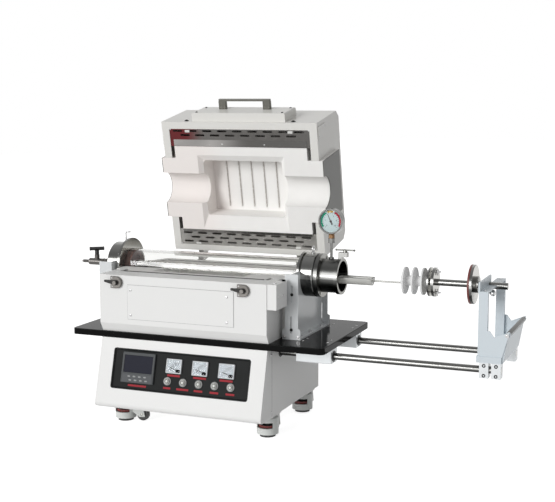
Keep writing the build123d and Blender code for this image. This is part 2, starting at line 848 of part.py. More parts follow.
# Pressure gauge standing on the nozzle
gauge_face = -gauge_thick / 2
with BuildPart() as pressure_gauge:
    with BuildSketch(level(split_z + nozzle_radius - nozzle_wall + 0.5)):
        with Locations((gauge_x, 0)):
            Circle(gauge_tube_radius - running_fit)
    extrude(amount=gauge_z - split_z - nozzle_radius)
    with BuildSketch(level(split_z + nozzle_radius + seat_gap)):
        with Locations((gauge_x, 0)):
            Circle(gauge_tube_radius + 4)
    extrude(amount=5)
    with BuildSketch(level(gauge_z - 66)):
        with Locations((gauge_x, 0)):
            RegularPolygon(radius=10, side_count=6)
    extrude(amount=14)
    with BuildSketch(level(gauge_z - 54)):
        with Locations((gauge_x, 0)):
            Circle(8)
    extrude(amount=20)
    with BuildSketch(facing(-gauge_face)):
        with Locations((gauge_x, gauge_z)):
            Circle(gauge_radius)
    extrude(amount=gauge_thick)
    case_edges = pressure_gauge.faces().sort_by(Axis.Y)[0].edges()
    fillet(case_edges, radius=2)
    with BuildSketch(facing(gauge_face)):
        with Locations((gauge_x, gauge_z)):
            Circle(gauge_radius - 4)
    extrude(amount=-5, mode=Mode.SUBTRACT)
    with BuildSketch(facing(gauge_face + 5)):
        with Locations((gauge_x, gauge_z)):
            Circle(1.2 + running_fit)
    extrude(amount=-8, mode=Mode.SUBTRACT)
pressure_gauge.part.label = "pressure_gauge"
export_step(pressure_gauge.part, "parts/pressure_gauge.step")

# The pointer stands part way up its scale, which runs clockwise from lower left to lower right.
reading = radians(116)
with BuildPart() as gauge_pointer:
    with BuildSketch(facing(gauge_face + 4)):
        with Locations((gauge_x, gauge_z)):
            Circle(3.5)
        with BuildLine():
            Polyline(
                (gauge_x + 1.3 * cos(reading + 1.57), gauge_z + 1.3 * sin(reading + 1.57)),
                (gauge_x + pointer_length * cos(reading), gauge_z + pointer_length * sin(reading)),
                (gauge_x - 1.3 * cos(reading + 1.57), gauge_z - 1.3 * sin(reading + 1.57)),
                (gauge_x - 11 * cos(reading + 0.2), gauge_z - 11 * sin(reading + 0.2)),
                (gauge_x - 11 * cos(reading - 0.2), gauge_z - 11 * sin(reading - 0.2)),
                close=True,
            )
        make_face()
    extrude(amount=1)
    with BuildSketch(facing(gauge_face + 4)):
        with Locations((gauge_x, gauge_z)):
            Circle(1.2)
    extrude(amount=-6)
gauge_pointer.part.label = "gauge_pointer"
export_step(gauge_pointer.part, "parts/gauge_pointer.step")

# Stands
with BuildPart() as left_stand:
    with BuildSketch(across(left_web_x)):
        with BuildLine():
            Polyline(
                (-left_stand_half_depth, worktop_top),
                (-left_stand_half_depth, left_stand_top),
                (left_stand_half_depth, left_stand_top),
                (left_stand_half_depth, worktop_top),
                close=True,
            )
        make_face()
        with Locations((0, split_z)):
            Circle(left_flange_radius + seat_gap, mode=Mode.SUBTRACT)
        with Locations((0, split_z + 50)):
            Rectangle(2 * (left_flange_radius + seat_gap), 100, mode=Mode.SUBTRACT)
    extrude(amount=-stand_sheet)
    for y in (-left_stand_half_depth - stand_sheet, left_stand_half_depth):
        with BuildSketch(facing(y + stand_sheet)):
            with Locations((left_web_x - 20, (worktop_top + left_stand_top) / 2)):
                Rectangle(44, left_stand_top - worktop_top)
        extrude(amount=stand_sheet)
    with BuildSketch(level(worktop_top)):
        with Locations((left_web_x - 20, 0)):
            Rectangle(44, 2 * left_stand_half_depth)
    extrude(amount=stand_sheet)
left_stand.part.label = "left_stand"
export_step(left_stand.part, "parts/left_stand.step")

right_plate_x = right_web_x + stand_sheet / 2
with BuildPart() as right_stand:
    with BuildSketch(across(right_web_x)):
        with BuildLine():
            Polyline(
                (-right_stand_half_depth, worktop_top),
                (-right_stand_half_depth, right_stand_top),
                (right_stand_half_depth, right_stand_top),
                (right_stand_half_depth, worktop_top),
                close=True,
            )
        make_face()
        with Locations((0, split_z)):
            Circle(neck_radius + seat_gap, mode=Mode.SUBTRACT)
        with Locations((0, split_z + 50)):
            Rectangle(2 * (neck_radius + seat_gap), 100, mode=Mode.SUBTRACT)
    extrude(amount=stand_sheet)
    for y in (-right_stand_half_depth, right_stand_half_depth + stand_sheet):
        with BuildSketch(facing(y)):
            with BuildLine():
                Polyline(
                    (right_plate_x - right_foot_half, worktop_top),
                    (right_plate_x - right_foot_half, right_foot_top),
                    (right_plate_x - right_plate_half, right_foot_top + 4),
                    (right_plate_x - right_plate_half, right_stand_top),
                    (right_plate_x + right_plate_half, right_stand_top),
                    (right_plate_x + right_plate_half, right_foot_top + 4),
                    (right_plate_x + right_foot_half, right_foot_top),
                    (right_plate_x + right_foot_half, worktop_top),
                    close=True,
                )
            make_face()
            with Locations((right_plate_x + 1.5, 433.5)):
                SlotOverall(50, 6, rotation=90, mode=Mode.SUBTRACT)
            with Locations((right_plate_x, 340)):
                SlotOverall(52, 6, rotation=90, mode=Mode.SUBTRACT)
        extrude(amount=stand_sheet)
    with BuildSketch(level(worktop_top)):
        with Locations((right_plate_x, 0)):
            Rectangle(2 * right_foot_half, 2 * right_stand_half_depth)
    extrude(amount=stand_sheet)
right_stand.part.label = "right_stand"
export_step(right_stand.part, "parts/right_stand.step")

# ---------------------------------------------------------------------------
# Loading carriage on two rails under the worktop
# ---------------------------------------------------------------------------
with BuildPart() as bearing_blocks:
    with BuildSketch(across(bearing_start)):
        for y in (-rail_y, rail_y):
            with Locations((y, cabinet_top - bearing_height / 2)):
                RectangleRounded(bearing_width, bearing_height, 3)
            with Locations((y, rail_z)):
                Circle(rail_radius + running_fit, mode=Mode.SUBTRACT)
    extrude(amount=bearing_length)
bearing_blocks.part.label = "bearing_blocks"
export_step(bearing_blocks.part, "parts/bearing_blocks.step")

with BuildPart() as slide_rails:
    with BuildSketch(across(rail_start)):
        with Locations((-rail_y, rail_z), (rail_y, rail_z)):
            Circle(rail_radius)
    extrude(amount=rail_end - rail_start)
    end_edges = slide_rails.edges().filter_by(GeomType.CIRCLE)
    chamfer(end_edges, length=1)
slide_rails.part.label = "slide_rails"
export_step(slide_rails.part, "parts/slide_rails.step")

frame_base_bottom = rail_z + clamp_height / 2
with BuildPart() as rail_clamps:
    for start in (clamp_start, clamp_start + clamp_length + clamp_gap):
        with BuildSketch(across(start)):
            with Locations((-rail_y, rail_z), (rail_y, rail_z)):
                Rectangle(clamp_depth, clamp_height)
                Circle(rail_radius + running_fit, mode=Mode.SUBTRACT)
        extrude(amount=clamp_length)
rail_clamps.part.label = "rail_clamps"
export_step(rail_clamps.part, "parts/rail_clamps.step")

# Two bent uprights, an angle bar between their tops and a cheek at each side
with BuildPart() as carriage_frame:
    with BuildSketch(level(frame_base_bottom)):
        with Locations(((frame_left + frame_base_right) / 2, 0)):
            Rectangle(frame_base_right - frame_left, 2 * frame_half_depth)
    extrude(amount=frame_base_top - frame_base_bottom)
    with BuildSketch(level(frame_base_bottom)):
        for side in (-1, 1):
            with Locations((upright_left + upright_width / 2, side * (cheek_face - upright_thick / 2))):
                Rectangle(upright_width, upright_thick)
    extrude(amount=crossbar_top - frame_base_bottom)
    with BuildSketch(level(crossbar_top)):
        with Locations((upright_left + upright_width / 2, 0)):
            Rectangle(upright_width, 2 * cheek_face)
    extrude(amount=-crossbar_sheet)
    with BuildSketch(across(crossbar_leg_x)):
        with BuildLine():
            Polyline(
                (-cheek_face, crossbar_top - crossbar_sheet),
                (-cheek_face, crossbar_leg_top),
                (crossbar_leg_end, crossbar_leg_top),
                (crossbar_leg_end, crossbar_top - 2 * rod_radius - 6),
                (-crossbar_leg_end, crossbar_top - 2 * rod_radius - 6),
                (-crossbar_leg_end, crossbar_top - crossbar_sheet),
                close=True,
            )
        make_face()
    extrude(amount=upright_left + 3 - crossbar_leg_x)
    for side in (-1, 1):
        with BuildSketch(facing(side * (cheek_face - cheek_sheet / 2) + cheek_sheet / 2)):
            with BuildLine():
                Polyline(
                    (upright_left, frame_base_bottom),
                    (upright_left, 367),
                    (902, 367),
                    (914, 350),
                    (handle_x + 5, handle_z + handle_radius + 2),
                    (frame_base_right, frame_base_top - 5),
                    (frame_base_right, frame_base_bottom),
                    close=True,
                )
            make_face()
        extrude(amount=cheek_sheet)
    with BuildSketch(bore_plane(crossbar_leg_x - 1)):
        Circle(rod_radius + running_fit)
    extrude(amount=upright_width + 6, mode=Mode.SUBTRACT)
carriage_frame.part.label = "carriage_frame"
export_step(carriage_frame.part, "parts/carriage_frame.step")

handle_half_length = cheek_face - cheek_sheet - seat_gap
# The handle is a leaning sheet that rises from the base plate to a grip bar.
with BuildPart() as carriage_handle:
    with BuildSketch(facing(-handle_half_length)):
        with BuildLine():
            Polyline(
                (frame_base_right, frame_base_bottom),
                (frame_base_right + handle_sheet, frame_base_bottom),
                (handle_x + handle_sheet / 2, handle_z),
                (handle_x - handle_sheet / 2, handle_z),
                (frame_base_right, frame_base_top),
                close=True,
            )
        make_face()
    extrude(amount=-2 * handle_half_length)
    with BuildSketch(facing(-handle_half_length)):
        with Locations((handle_x, handle_z)):
            Circle(handle_radius)
    extrude(amount=-2 * handle_half_length)
    grip_ends = carriage_handle.edges().filter_by(GeomType.CIRCLE).filter_by(
        lambda edge: abs(abs(edge.center().Y - cy) - handle_half_length) < 0.01
    )
    chamfer(grip_ends, length=0.8)
carriage_handle.part.label = "carriage_handle"
export_step(carriage_handle.part, "parts/carriage_handle.step")

with BuildPart() as push_rod:
    with BuildSketch(bore_plane(rod_flange_x)):
        Circle(rod_flange_radius)
    extrude(amount=5)
    with BuildSketch(bore_plane(rod_flange_x + rod_flange_thick - 8)):
        Circle(rod_flange_radius)
    extrude(amount=8)
    with BuildSketch(bore_plane(rod_flange_x)):
        Circle(rod_radius)
    extrude(amount=rod_end - rod_flange_x)
    end_edges = push_rod.faces().sort_by(Axis.X)[-1].edges()
    chamfer(end_edges, length=1)
push_rod.part.label = "push_rod"
export_step(push_rod.part, "parts/push_rod.step")

with BuildPart() as door_seal:
    with BuildSketch(bore_plane(seal_face)):
        Circle(door_radius)
        Circle(rod_radius + running_fit, mode=Mode.SUBTRACT)
    extrude(amount=seal_thick)
    rim_edges = door_seal.edges().filter_by(lambda edge: edge.length > 6 * door_radius)
    fillet(rim_edges, radius=1.5)
door_seal.part.label = "door_seal"
export_step(door_seal.part, "parts/door_seal.step")

with BuildPart() as door_flange:
    with BuildSketch(bore_plane(seal_face + seal_thick)):
        Circle(door_radius)
    extrude(amount=door_thick)
    outline = door_flange.faces().sort_by(Axis.X)[-1].edges()
    chamfer(outline, length=1.2)
    with BuildSketch(bore_plane(seal_face + seal_thick + door_thick)):
        Circle(door_boss_radius)
    extrude(amount=door_boss_thick)
    with BuildSketch(bore_plane(seal_face)):
        Circle(rod_radius + running_fit)
    extrude(amount=60, mode=Mode.SUBTRACT)
door_flange.part.label = "door_flange"
export_step(door_flange.part, "parts/door_flange.step")

with BuildPart() as heat_baffles:
    with BuildSketch(bore_plane(baffle_tube_start)):
        Circle(baffle_tube_radius)
    extrude(amount=rod_flange_x - baffle_tube_start)
    for x in baffle_xs:
        with BuildSketch(bore_plane(x)):
            Circle(baffle_radius)
        extrude(amount=baffle_thick)
    with BuildSketch(bore_plane(baffle_tube_start)):
        with Locations((0, -boat_rod_drop)):
            Circle(boat_rod_radius + seat_gap)
    extrude(amount=40, mode=Mode.SUBTRACT)
heat_baffles.part.label = "heat_baffles"
export_step(heat_baffles.part, "parts/heat_baffles.step")

# Sample boat: a half-round trough with closed ends on a long glass rod
with BuildPart() as sample_boat:
    with BuildSketch(bore_plane(boat_start)):
        Circle(boat_radius)
    extrude(amount=boat_length)
    with BuildSketch(bore_plane(boat_start + boat_wall)):
        Circle(boat_radius - boat_wall)
    extrude(amount=boat_length - 2 * boat_wall, mode=Mode.SUBTRACT)
    with BuildSketch(level(split_z)):
        with Locations((boat_start + boat_length / 2, 0)):
            Rectangle(boat_length + 2, 2 * boat_radius + 2)
    extrude(amount=boat_radius + 2, mode=Mode.SUBTRACT)
    with BuildSketch(bore_plane(boat_start + boat_length - boat_wall)):
        with Locations((0, -boat_rod_drop)):
            Circle(boat_rod_radius)
    extrude(amount=baffle_tube_start + 38 - boat_start - boat_length + boat_wall)
sample_boat.part.label = "sample_boat"
export_step(sample_boat.part, "parts/sample_boat.step")

# ---------------------------------------------------------------------------
# Levelling casters: the foot stands on the swivel axis, the wheel trails beside it
# ---------------------------------------------------------------------------
caster_places = (
    (-caster_x, caster_front, 0),
    (caster_x, caster_front, 90),
    (-caster_x, caster_back, 0),
    (caster_x, caster_back, 90),
)
caster_roof = cabinet_bottom - caster_plate
wheel_z = wheel_radius + wheel_lift
fork_half = wheel_width / 2 + 1 + caster_cheek


def trailing(x, y, turn):
    """Upright plane through a swivel axis: x runs towards the wheel, y is Z."""
    along = (cos(radians(turn)), sin(radians(turn)), 0)
    normal = (sin(radians(turn)), -cos(radians(turn)), 0)
    return Plane(origin=(cx + x, cy + y, 0), x_dir=along, z_dir=normal)


for number, (x, y, turn) in enumerate(caster_places, start=1):
    with BuildPart() as caster:
        with BuildSketch(level(9)):
            with Locations((x, y)):
                Circle(caster_body_radius)
        extrude(amount=caster_roof - 6 - 9)
        rim_edges = caster.faces().sort_by(Axis.Z)[-1].edges()
        fillet(rim_edges, radius=4)
        with BuildSketch(level(9)):
            with Locations((x, y)):
                Circle(caster_body_radius - caster_wall)
        extrude(amount=window_top - 9, mode=Mode.SUBTRACT)
        with BuildSketch(level(caster_roof - 12)):
            with Locations((x, y)):
                Circle(16)
        extrude(amount=12 - seat_gap)
        with BuildSketch(trailing(x, y, turn)):
            with BuildLine():
                Polyline(
                    (caster_body_radius - 4, 58),
                    (caster_trail + 4, 52),
                    (caster_trail + 11, wheel_z - 6),
                    (caster_trail - 8, wheel_z - 8),
                    (caster_body_radius - 4, 30),
                    close=True,
                )
            make_face()
        extrude(amount=fork_half, both=True)
        with BuildSketch(trailing(x, y, turn)):
            with Locations((caster_trail, wheel_z)):
                Circle(wheel_radius + 2.5)
        extrude(amount=wheel_width / 2 + 1, both=True, mode=Mode.SUBTRACT)
        with BuildSketch(trailing(x, y, turn)):
            with Locations((caster_trail, wheel_z)):
                Circle(4)
        extrude(amount=fork_half, both=True)
        with BuildSketch(facing(y)):
            with Locations((x, (window_bottom + window_top) / 2)):
                Rectangle(window_width, window_top - window_bottom)
        extrude(amount=caster_body_radius + 5, mode=Mode.SUBTRACT)
        with BuildSketch(level(30)):
            with Locations((x, y)):
                Circle(foot_stem_radius + running_fit)
        extrude(amount=30, mode=Mode.SUBTRACT)
    caster.part.label = f"caster_{number}"
    export_step(caster.part, f"parts/caster_{number}.step")

    with BuildPart() as caster_wheel:
        with BuildSketch(trailing(x, y, turn)):
            with Locations((caster_trail, wheel_z)):
                Circle(wheel_radius)
                Circle(4 + running_fit, mode=Mode.SUBTRACT)
        extrude(amount=wheel_width / 2, both=True)
        tyre_edges = caster_wheel.edges().filter_by(lambda edge: edge.length > 6 * wheel_radius)
        fillet(tyre_edges, radius=2.5)
    caster_wheel.part.label = f"caster_wheel_{number}"
    export_step(caster_wheel.part, f"parts/caster_wheel_{number}.step")

    with BuildPart() as levelling_foot:
        with BuildSketch(level(0)):
            with Locations((x, y)):
                Circle(foot_radius)
        extrude(amount=12)
        with BuildSketch(level(12)):
            with Locations((x, y)):
                Circle(foot_radius)
        extrude(amount=5, taper=35)
        with BuildSketch(level(17)):
            with Locations((x, y)):
                Circle(foot_stem_radius)
        extrude(amount=31)
        with BuildSketch(level(29.5)):
            with Locations((x, y)):
                Circle(thumbwheel_radius)
        extrude(amount=thumbwheel_thick)
    levelling_foot.part.label = f"levelling_foot_{number}"
    export_step(levelling_foot.part, f"parts/levelling_foot_{number}.step")
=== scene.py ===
import bmesh
import bpy
from math import cos, pi, radians, sin
from mathutils import Euler, Matrix, Vector


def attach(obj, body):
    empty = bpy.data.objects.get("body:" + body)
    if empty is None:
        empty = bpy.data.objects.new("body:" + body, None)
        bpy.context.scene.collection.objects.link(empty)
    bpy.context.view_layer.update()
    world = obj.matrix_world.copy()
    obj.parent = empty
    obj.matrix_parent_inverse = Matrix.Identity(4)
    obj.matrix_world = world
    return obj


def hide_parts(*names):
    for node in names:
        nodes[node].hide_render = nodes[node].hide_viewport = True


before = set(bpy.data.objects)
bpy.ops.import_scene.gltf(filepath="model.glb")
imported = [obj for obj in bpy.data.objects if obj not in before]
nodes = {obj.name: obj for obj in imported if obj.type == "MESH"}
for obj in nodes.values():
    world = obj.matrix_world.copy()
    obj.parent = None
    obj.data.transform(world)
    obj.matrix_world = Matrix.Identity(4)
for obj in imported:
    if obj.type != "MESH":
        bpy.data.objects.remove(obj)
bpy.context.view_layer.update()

# Studio: a long lens from the front right, looking slightly down, with one
# broad soft light from the front left and an even pale room around it.
def linked(tree, kind, values=(), feeds=(), **settings):
    """Adds one shader node with its settings, its input values and the sockets that feed it."""
    made = tree.nodes.new(f"ShaderNode{kind}")
    for key, value in settings.items():
        setattr(made, key, value)
    for plug, value in dict(values).items():
        made.inputs[plug].default_value = value
    for plug, source in dict(feeds).items():
        tree.links.new(source, made.inputs[plug])
    return made


def emptied(holder):
    """The node tree of a world or a material, with nothing in it."""
    holder.use_nodes = True
    holder.node_tree.nodes.clear()
    return holder.node_tree


lens_camera = bpy.data.cameras.new("studio_lens")
lens_camera.sensor_width = 36
lens_camera.lens = 71.1
lens_camera.shift_x = -0.04895
lens_camera.shift_y = 0.00856
lens_camera.clip_end = 60
camera = bpy.data.objects.new("studio_camera", lens_camera)
bpy.context.collection.objects.link(camera)
down, swing, roll = 7.751, 20.766, 0.186
turn = Euler(
    (radians(90 - down), 0, radians(swing))
).to_matrix() @ Matrix.Rotation(radians(roll), 3, "Z")
camera.matrix_world = Matrix.Translation((1.2332, -3.18464, 0.9787)) @ turn.to_4x4()
bpy.context.scene.camera = camera
bpy.context.scene.view_settings.view_transform = "Standard"

# The room is brighter to the lens and in reflections than it is as a light.
room = bpy.data.worlds.new("pale_room")
bpy.context.scene.world = room
tree = emptied(room)
path = linked(tree, "LightPath")
seen = linked(
    tree, "Math", feeds={0: path.outputs["Is Camera Ray"], 1: path.outputs["Is Glossy Ray"]},
    operation="MAXIMUM",
)
through = linked(
    tree, "Math", feeds={0: seen.outputs[0], 1: path.outputs["Is Transmission Ray"]},
    operation="MAXIMUM",
)
level = linked(tree, "MapRange", {"To Min": 0.36, "To Max": 1.0}, {"Value": through.outputs[0]})
sky = linked(tree, "Background", {"Color": (1, 1, 1, 1)}, {"Strength": level.outputs["Result"]})
linked(tree, "OutputWorld", feeds={"Surface": sky.outputs[0]})

softbox = bpy.data.lights.new("front_softbox", "SUN")
softbox.energy = 1.9
softbox.angle = radians(30)
lamp = bpy.data.objects.new("front_softbox", softbox)
lamp.rotation_euler = Vector((-0.42, -0.88, 0.24)).to_track_quat("Z", "Y").to_euler()
bpy.context.collection.objects.link(lamp)

floor_z = -0.0005
floor_edge = [(x, y, floor_z) for x, y in ((-12, -12), (12, -12), (12, 30), (-12, 30))]
floor_mesh = bpy.data.meshes.new("studio_floor")
floor_mesh.from_pydata(floor_edge, [], [(0, 1, 2, 3)])
floor = bpy.data.objects.new("studio_floor", floor_mesh)
bpy.context.collection.objects.link(floor)
vinyl = bpy.data.materials.new("studio_floor")
tree = emptied(vinyl)
matt = linked(tree, "BsdfDiffuse", {"Color": (0.9, 0.9, 0.9, 1)})
path = linked(tree, "LightPath")
bright = linked(
    tree, "Math", feeds={0: path.outputs["Is Camera Ray"], 1: path.outputs["Is Glossy Ray"]},
    operation="MAXIMUM",
)
share = linked(tree, "Math", {1: 0.8}, {0: bright.outputs[0]}, operation="MULTIPLY")
glow = linked(tree, "Emission", feeds={"Strength": share.outputs[0]})
both = linked(tree, "AddShader", feeds={0: matt.outputs[0], 1: glow.outputs[0]})
linked(tree, "OutputMaterial", feeds={"Surface": both.outputs[0]})
floor_mesh.materials.append(vinyl)


# Cabinet: a folded steel box with a leaning front, sprayed with smooth white
# enamel. Pan-head screws hold the side returns of the front along a seam, where a
# thin black strip is painted shadow in the gap, and a rubber ring lines each hole
# that a slide rail passes through.
def coated(
    name, colour, rough, metal=0.0, gloss=0.5, mottle=0.03, mottle_scale=9.0, grain=0.02,
    grain_scale=900.0, clearness=0.0, ior=None,
):
    """A painted, moulded or rubbed surface: faint patches of tone and a fine grain."""
    material = bpy.data.materials.new(name)
    material.use_nodes = True
    tree = material.node_tree
    skin = tree.nodes["Principled BSDF"]
    skin.inputs["Metallic"].default_value = metal
    skin.inputs["Specular IOR Level"].default_value = gloss
    skin.inputs["Transmission Weight"].default_value = clearness
    if ior:
        skin.inputs["IOR"].default_value = ior
    spot = linked(tree, "TexCoord")
    cloud = linked(
        tree, "TexNoise", {"Scale": mottle_scale, "Detail": 4}, {"Vector": spot.outputs["Object"]},
    )
    darker = (*[c * (1 - mottle) for c in colour], 1)
    lighter = (*[min(1, c * (1 + mottle)) for c in colour], 1)
    tone = linked(
        tree, "Mix", {"A": darker, "B": lighter}, {"Factor": cloud.outputs["Fac"]},
        data_type="RGBA",
    )
    tree.links.new(tone.outputs["Result"], skin.inputs["Base Color"])
    wipe = linked(
        tree, "MapRange", {"To Min": rough * 0.85, "To Max": min(1.0, rough * 1.15)},
        {"Value": cloud.outputs["Fac"]},
    )
    tree.links.new(wipe.outputs["Result"], skin.inputs["Roughness"])
    dust = linked(
        tree, "TexNoise", {"Scale": grain_scale, "Detail": 3}, {"Vector": spot.outputs["Object"]},
    )
    relief = linked(
        tree, "Bump", {"Strength": grain, "Distance": 0.0004}, {"Height": dust.outputs["Fac"]},
    )
    tree.links.new(relief.outputs["Normal"], skin.inputs["Normal"])
    return material


def dress(material, *names):
    """Gives these solid pieces their finish."""
    for name in names:
        holder = nodes[name]
        if not holder.material_slots:
            holder.data.materials.append(material)
        for place in holder.material_slots:
            place.material = material


# Lengths below are in millimetres from a point on the floor under the middle
# of the furnace. These planes are seen from outside: x to the right, y up.
bench = Matrix.Translation((-0.242, -0.1006395, 0)) @ Matrix.Scale(0.001, 4)
FRONT = (1, 0, 0), (0, 0, 1)
BACK = (-1, 0, 0), (0, 0, 1)
RIGHT = (0, 1, 0), (0, 0, 1)
LEFT = (0, -1, 0), (0, 0, 1)
TOP = (1, 0, 0), (0, 1, 0)
tube_z = 473.5
rail_y = 118
rail_z = 255


def face(at, across, up, carrier=bench):
    """Where a flat drawing lies: its x runs across, its y up and its z out of the surface."""
    side = Vector(across).normalized()
    rise = Vector(up).normalized()
    basis = Matrix((side, rise, side.cross(rise))).transposed().to_4x4()
    return carrier @ Matrix.Translation(at) @ basis


def finished(name, mesh, where, material, body):
    """Stands a mesh on its face, smooths its curves, paints it and fixes it to its body."""
    mesh.transform(where)
    mesh.shade_smooth()
    mesh.set_sharp_from_angle(angle=radians(32))
    mesh.materials.clear()
    mesh.materials.append(material)
    made = bpy.data.objects.new(name, mesh)
    bpy.context.collection.objects.link(made)
    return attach(made, body)


def built(name, shape, where, material, body):
    """Closes a drawn solid and makes it a piece."""
    bmesh.ops.recalc_face_normals(shape, faces=shape.faces)
    mesh = bpy.data.meshes.new(name)
    shape.to_mesh(mesh)
    shape.free()
    return finished(name, mesh, where, material, body)


def outline(kind, angle):
    """How far a hex, cross, ridged or round edge reaches at this angle, for a radius of one."""
    if kind == "hex":
        return cos(pi / 6) / cos(angle % (pi / 3) - pi / 6)
    if kind == "cross":
        near = min(angle % (pi / 2), pi / 2 - angle % (pi / 2))
        return min(1 / cos(near), 0.3 / max(sin(near), 0.001))
    if kind == "ridged":
        return 0.96 if int(angle / pi * 36 + 0.01) % 2 else 1.0
    return 1.0


def turned(shape, centre, rings, steps=48, hollow=False):
    """A turned solid on z: each ring is a radius, a height and, if it isn't round, an outline."""
    loops = []
    for radius, height, *kind in rings:
        loop = []
        for i in range(steps):
            angle = 2 * pi * i / steps
            reach = radius * outline(kind[0] if kind else "round", angle)
            x, y = centre[0] + reach * cos(angle), centre[1] + reach * sin(angle)
            loop.append(shape.verts.new((x, y, height)))
        loops.append(loop)
    if hollow:
        loops.append(loops[0])
    else:
        shape.faces.new(loops[0])
        shape.faces.new(loops[-1])
    for low, high in zip(loops, loops[1:]):
        for i in range(steps):
            shape.faces.new((low[i], low[i - 1], high[i - 1], high[i]))


def screws(name, places, radius, where, material, body, recess="cross", tall=0.6, washer=0.0):
    """A set of screw heads on one face, each with its recess and, if it has one, its washer."""
    shape = bmesh.new()
    base = 1.0 if washer else 0.0
    top = base + radius * tall
    disc = (
        (washer * 0.5, -0.2), (washer, -0.2), (washer, 0.9), (washer * 0.96, 1.1),
        (washer * 0.5, 1.1),
    )
    if recess == "bolt":
        head = (
            (radius, base - 0.3, "hex"), (radius, top - 0.4, "hex"), (radius * 0.9, top),
            (radius * 0.4, top),
        )
    else:
        head = (
            (radius, base - 0.3), (radius, base + radius * tall * 0.45),
            (radius * 0.86, top - radius * 0.1), (radius * 0.66, top),
            (radius * 0.56, top, recess), (radius * 0.5, top - radius * 0.4, recess),
        )
    for place in places:
        if washer:
            turned(shape, place, disc, 32, hollow=True)
        turned(shape, place, head)
    built(name, shape, where, material, body)


def on_circle(radius, angles, x=0.0, y=0.0):
    """Points on a circle at these angles, in degrees."""
    return [(x + radius * cos(radians(a)), y + radius * sin(radians(a))) for a in angles]


def slab(shape, x, y, width, height, low, high, corner=1.0, chamfer=0.2):
    """A flat plate with round corners and a broken front edge."""
    loops = []
    for inset, level in ((0, low), (0, high - chamfer), (chamfer, high)):
        loop = []
        for quarter in range(4):
            for step in range(4):
                angle = pi / 2 * quarter + pi / 6 * step
                side = 1 if quarter in (0, 3) else -1
                rise = 1 if quarter in (0, 1) else -1
                across = x + side * (width / 2 - corner) + (corner - inset) * cos(angle)
                up = y + rise * (height / 2 - corner) + (corner - inset) * sin(angle)
                loop.append(shape.verts.new((across, up, level)))
        loops.append(loop)
    shape.faces.new(loops[0])
    shape.faces.new(loops[-1])
    for below, above in zip(loops, loops[1:]):
        for i in range(16):
            shape.faces.new((below[i], below[i - 1], above[i - 1], above[i]))


white_enamel = coated("white_enamel", (0.835, 0.835, 0.825), 0.45, gloss=0.25, mottle=0.012)
dress(white_enamel, "cabinet_shell", "cabinet_front")
bright_steel = coated(
    "bright_screw_steel", (0.5, 0.5, 0.5), 0.28, metal=1.0, mottle=0.06, mottle_scale=60,
)
black_and_seam_shade = coated("black_and_seam_shadow", (0.012, 0.012, 0.012), 0.8, gloss=0.1)
grommet_rubber = coated("grommet_rubber", (0.02, 0.02, 0.02), 0.6)
wall_x = 274.5
for side, hand in ((1, "right"), (-1, "left")):
    wall = face((side * wall_x, 0, 0), (0, side, 0), (0, 0, 1))
    screws(
        f"fascia_return_screws_{hand}", [(side * -190.5, 260), (side * -190.5, 88)], 3.4, wall,
        bright_steel, "furnace",
    )
    # Painted shadow: a thin black strip along the seam stands for the shade in the gap.
    seam = bmesh.new()
    slab(seam, side * -185, 174, 0.9, 203, -0.4, 0.12, corner=0.3, chamfer=0.05)
    built(f"fascia_return_seam_{hand}", seam, wall, black_and_seam_shade, "furnace")
wall = face((wall_x, 0, 0), *RIGHT)
for y, hand in ((-rail_y, "front"), (rail_y, "back")):
    ring = bmesh.new()
    turned(
        ring, (y, rail_z), ((15.5, -0.2), (16, 0.6), (15, 2.4), (12, 2.8), (10.7, 1.6), (10.7, -3)),
        hollow=True,
    )
    built(f"rail_grommet_{hand}", ring, wall, grommet_rubber, "furnace")

# Casters: each is a white moulded drum over a levelling foot, with a small
# trailing nylon wheel. The red knurled ring is turned by a finger through the
# window to screw the foot down, and four hex bolts hold the plate to the floor.
caster_white = coated("caster_housing", (0.66, 0.68, 0.66), 0.4)
wheel_black = coated("wheel_nylon", (0.02, 0.02, 0.02), 0.4)
pad_rubber = coated("foot_rubber", (0.03, 0.03, 0.03), 0.6)
knurl_red = coated("thumbwheel_red", (0.28, 0.035, 0.03), 0.45, mottle=0.1, mottle_scale=60)
bolt_zinc = coated("bolt_zinc", (0.4, 0.4, 0.38), 0.35, metal=1.0, mottle=0.08, mottle_scale=80)
axle_trail, axle_z = 62, 22.5
places = (-242, -140, 0), (242, -140, 90), (-242, 152, 0), (242, 152, 90)
for number, (x, y, swing) in enumerate(places, start=1):
    dress(caster_white, f"caster_{number}")
    dress(wheel_black, f"caster_wheel_{number}")
    dress(pad_rubber, f"levelling_foot_{number}")
    ring = bmesh.new()
    knurl = [(r, z, "ridged") for r, z in ((26, 29.2), (26.3, 30), (26.3, 34.8), (26, 35.6))]
    turned(ring, (x, y), ((24, 29.2), *knurl, (24, 35.6)), 144, hollow=True)
    built(f"thumbwheel_ring_{number}", ring, bench, knurl_red, f"foot_{number}")
    plate = face((x, y, 66), (1, 0, 0), (0, -1, 0))
    corners = [(a, b) for a in (-23, 23) for b in (-31, 31)]
    screws(f"caster_plate_bolts_{number}", corners, 5, plate, bolt_zinc, "furnace", recess="bolt")
    along = Vector((cos(radians(swing)), sin(radians(swing)), 0))
    beside = Vector((-along.y, along.x, 0))
    for side, hand in ((1, "a"), (-1, "b")):
        hub = Vector((x, y, axle_z)) + along * axle_trail + beside * side * 12
        cheek = face(hub, along * -side, (0, 0, 1))
        screws(
            f"axle_cap_{number}_{hand}", [(0, 0)], 5, cheek, bolt_zinc, f"swivel_{number}",
            recess="hex", tall=0.35,
        )
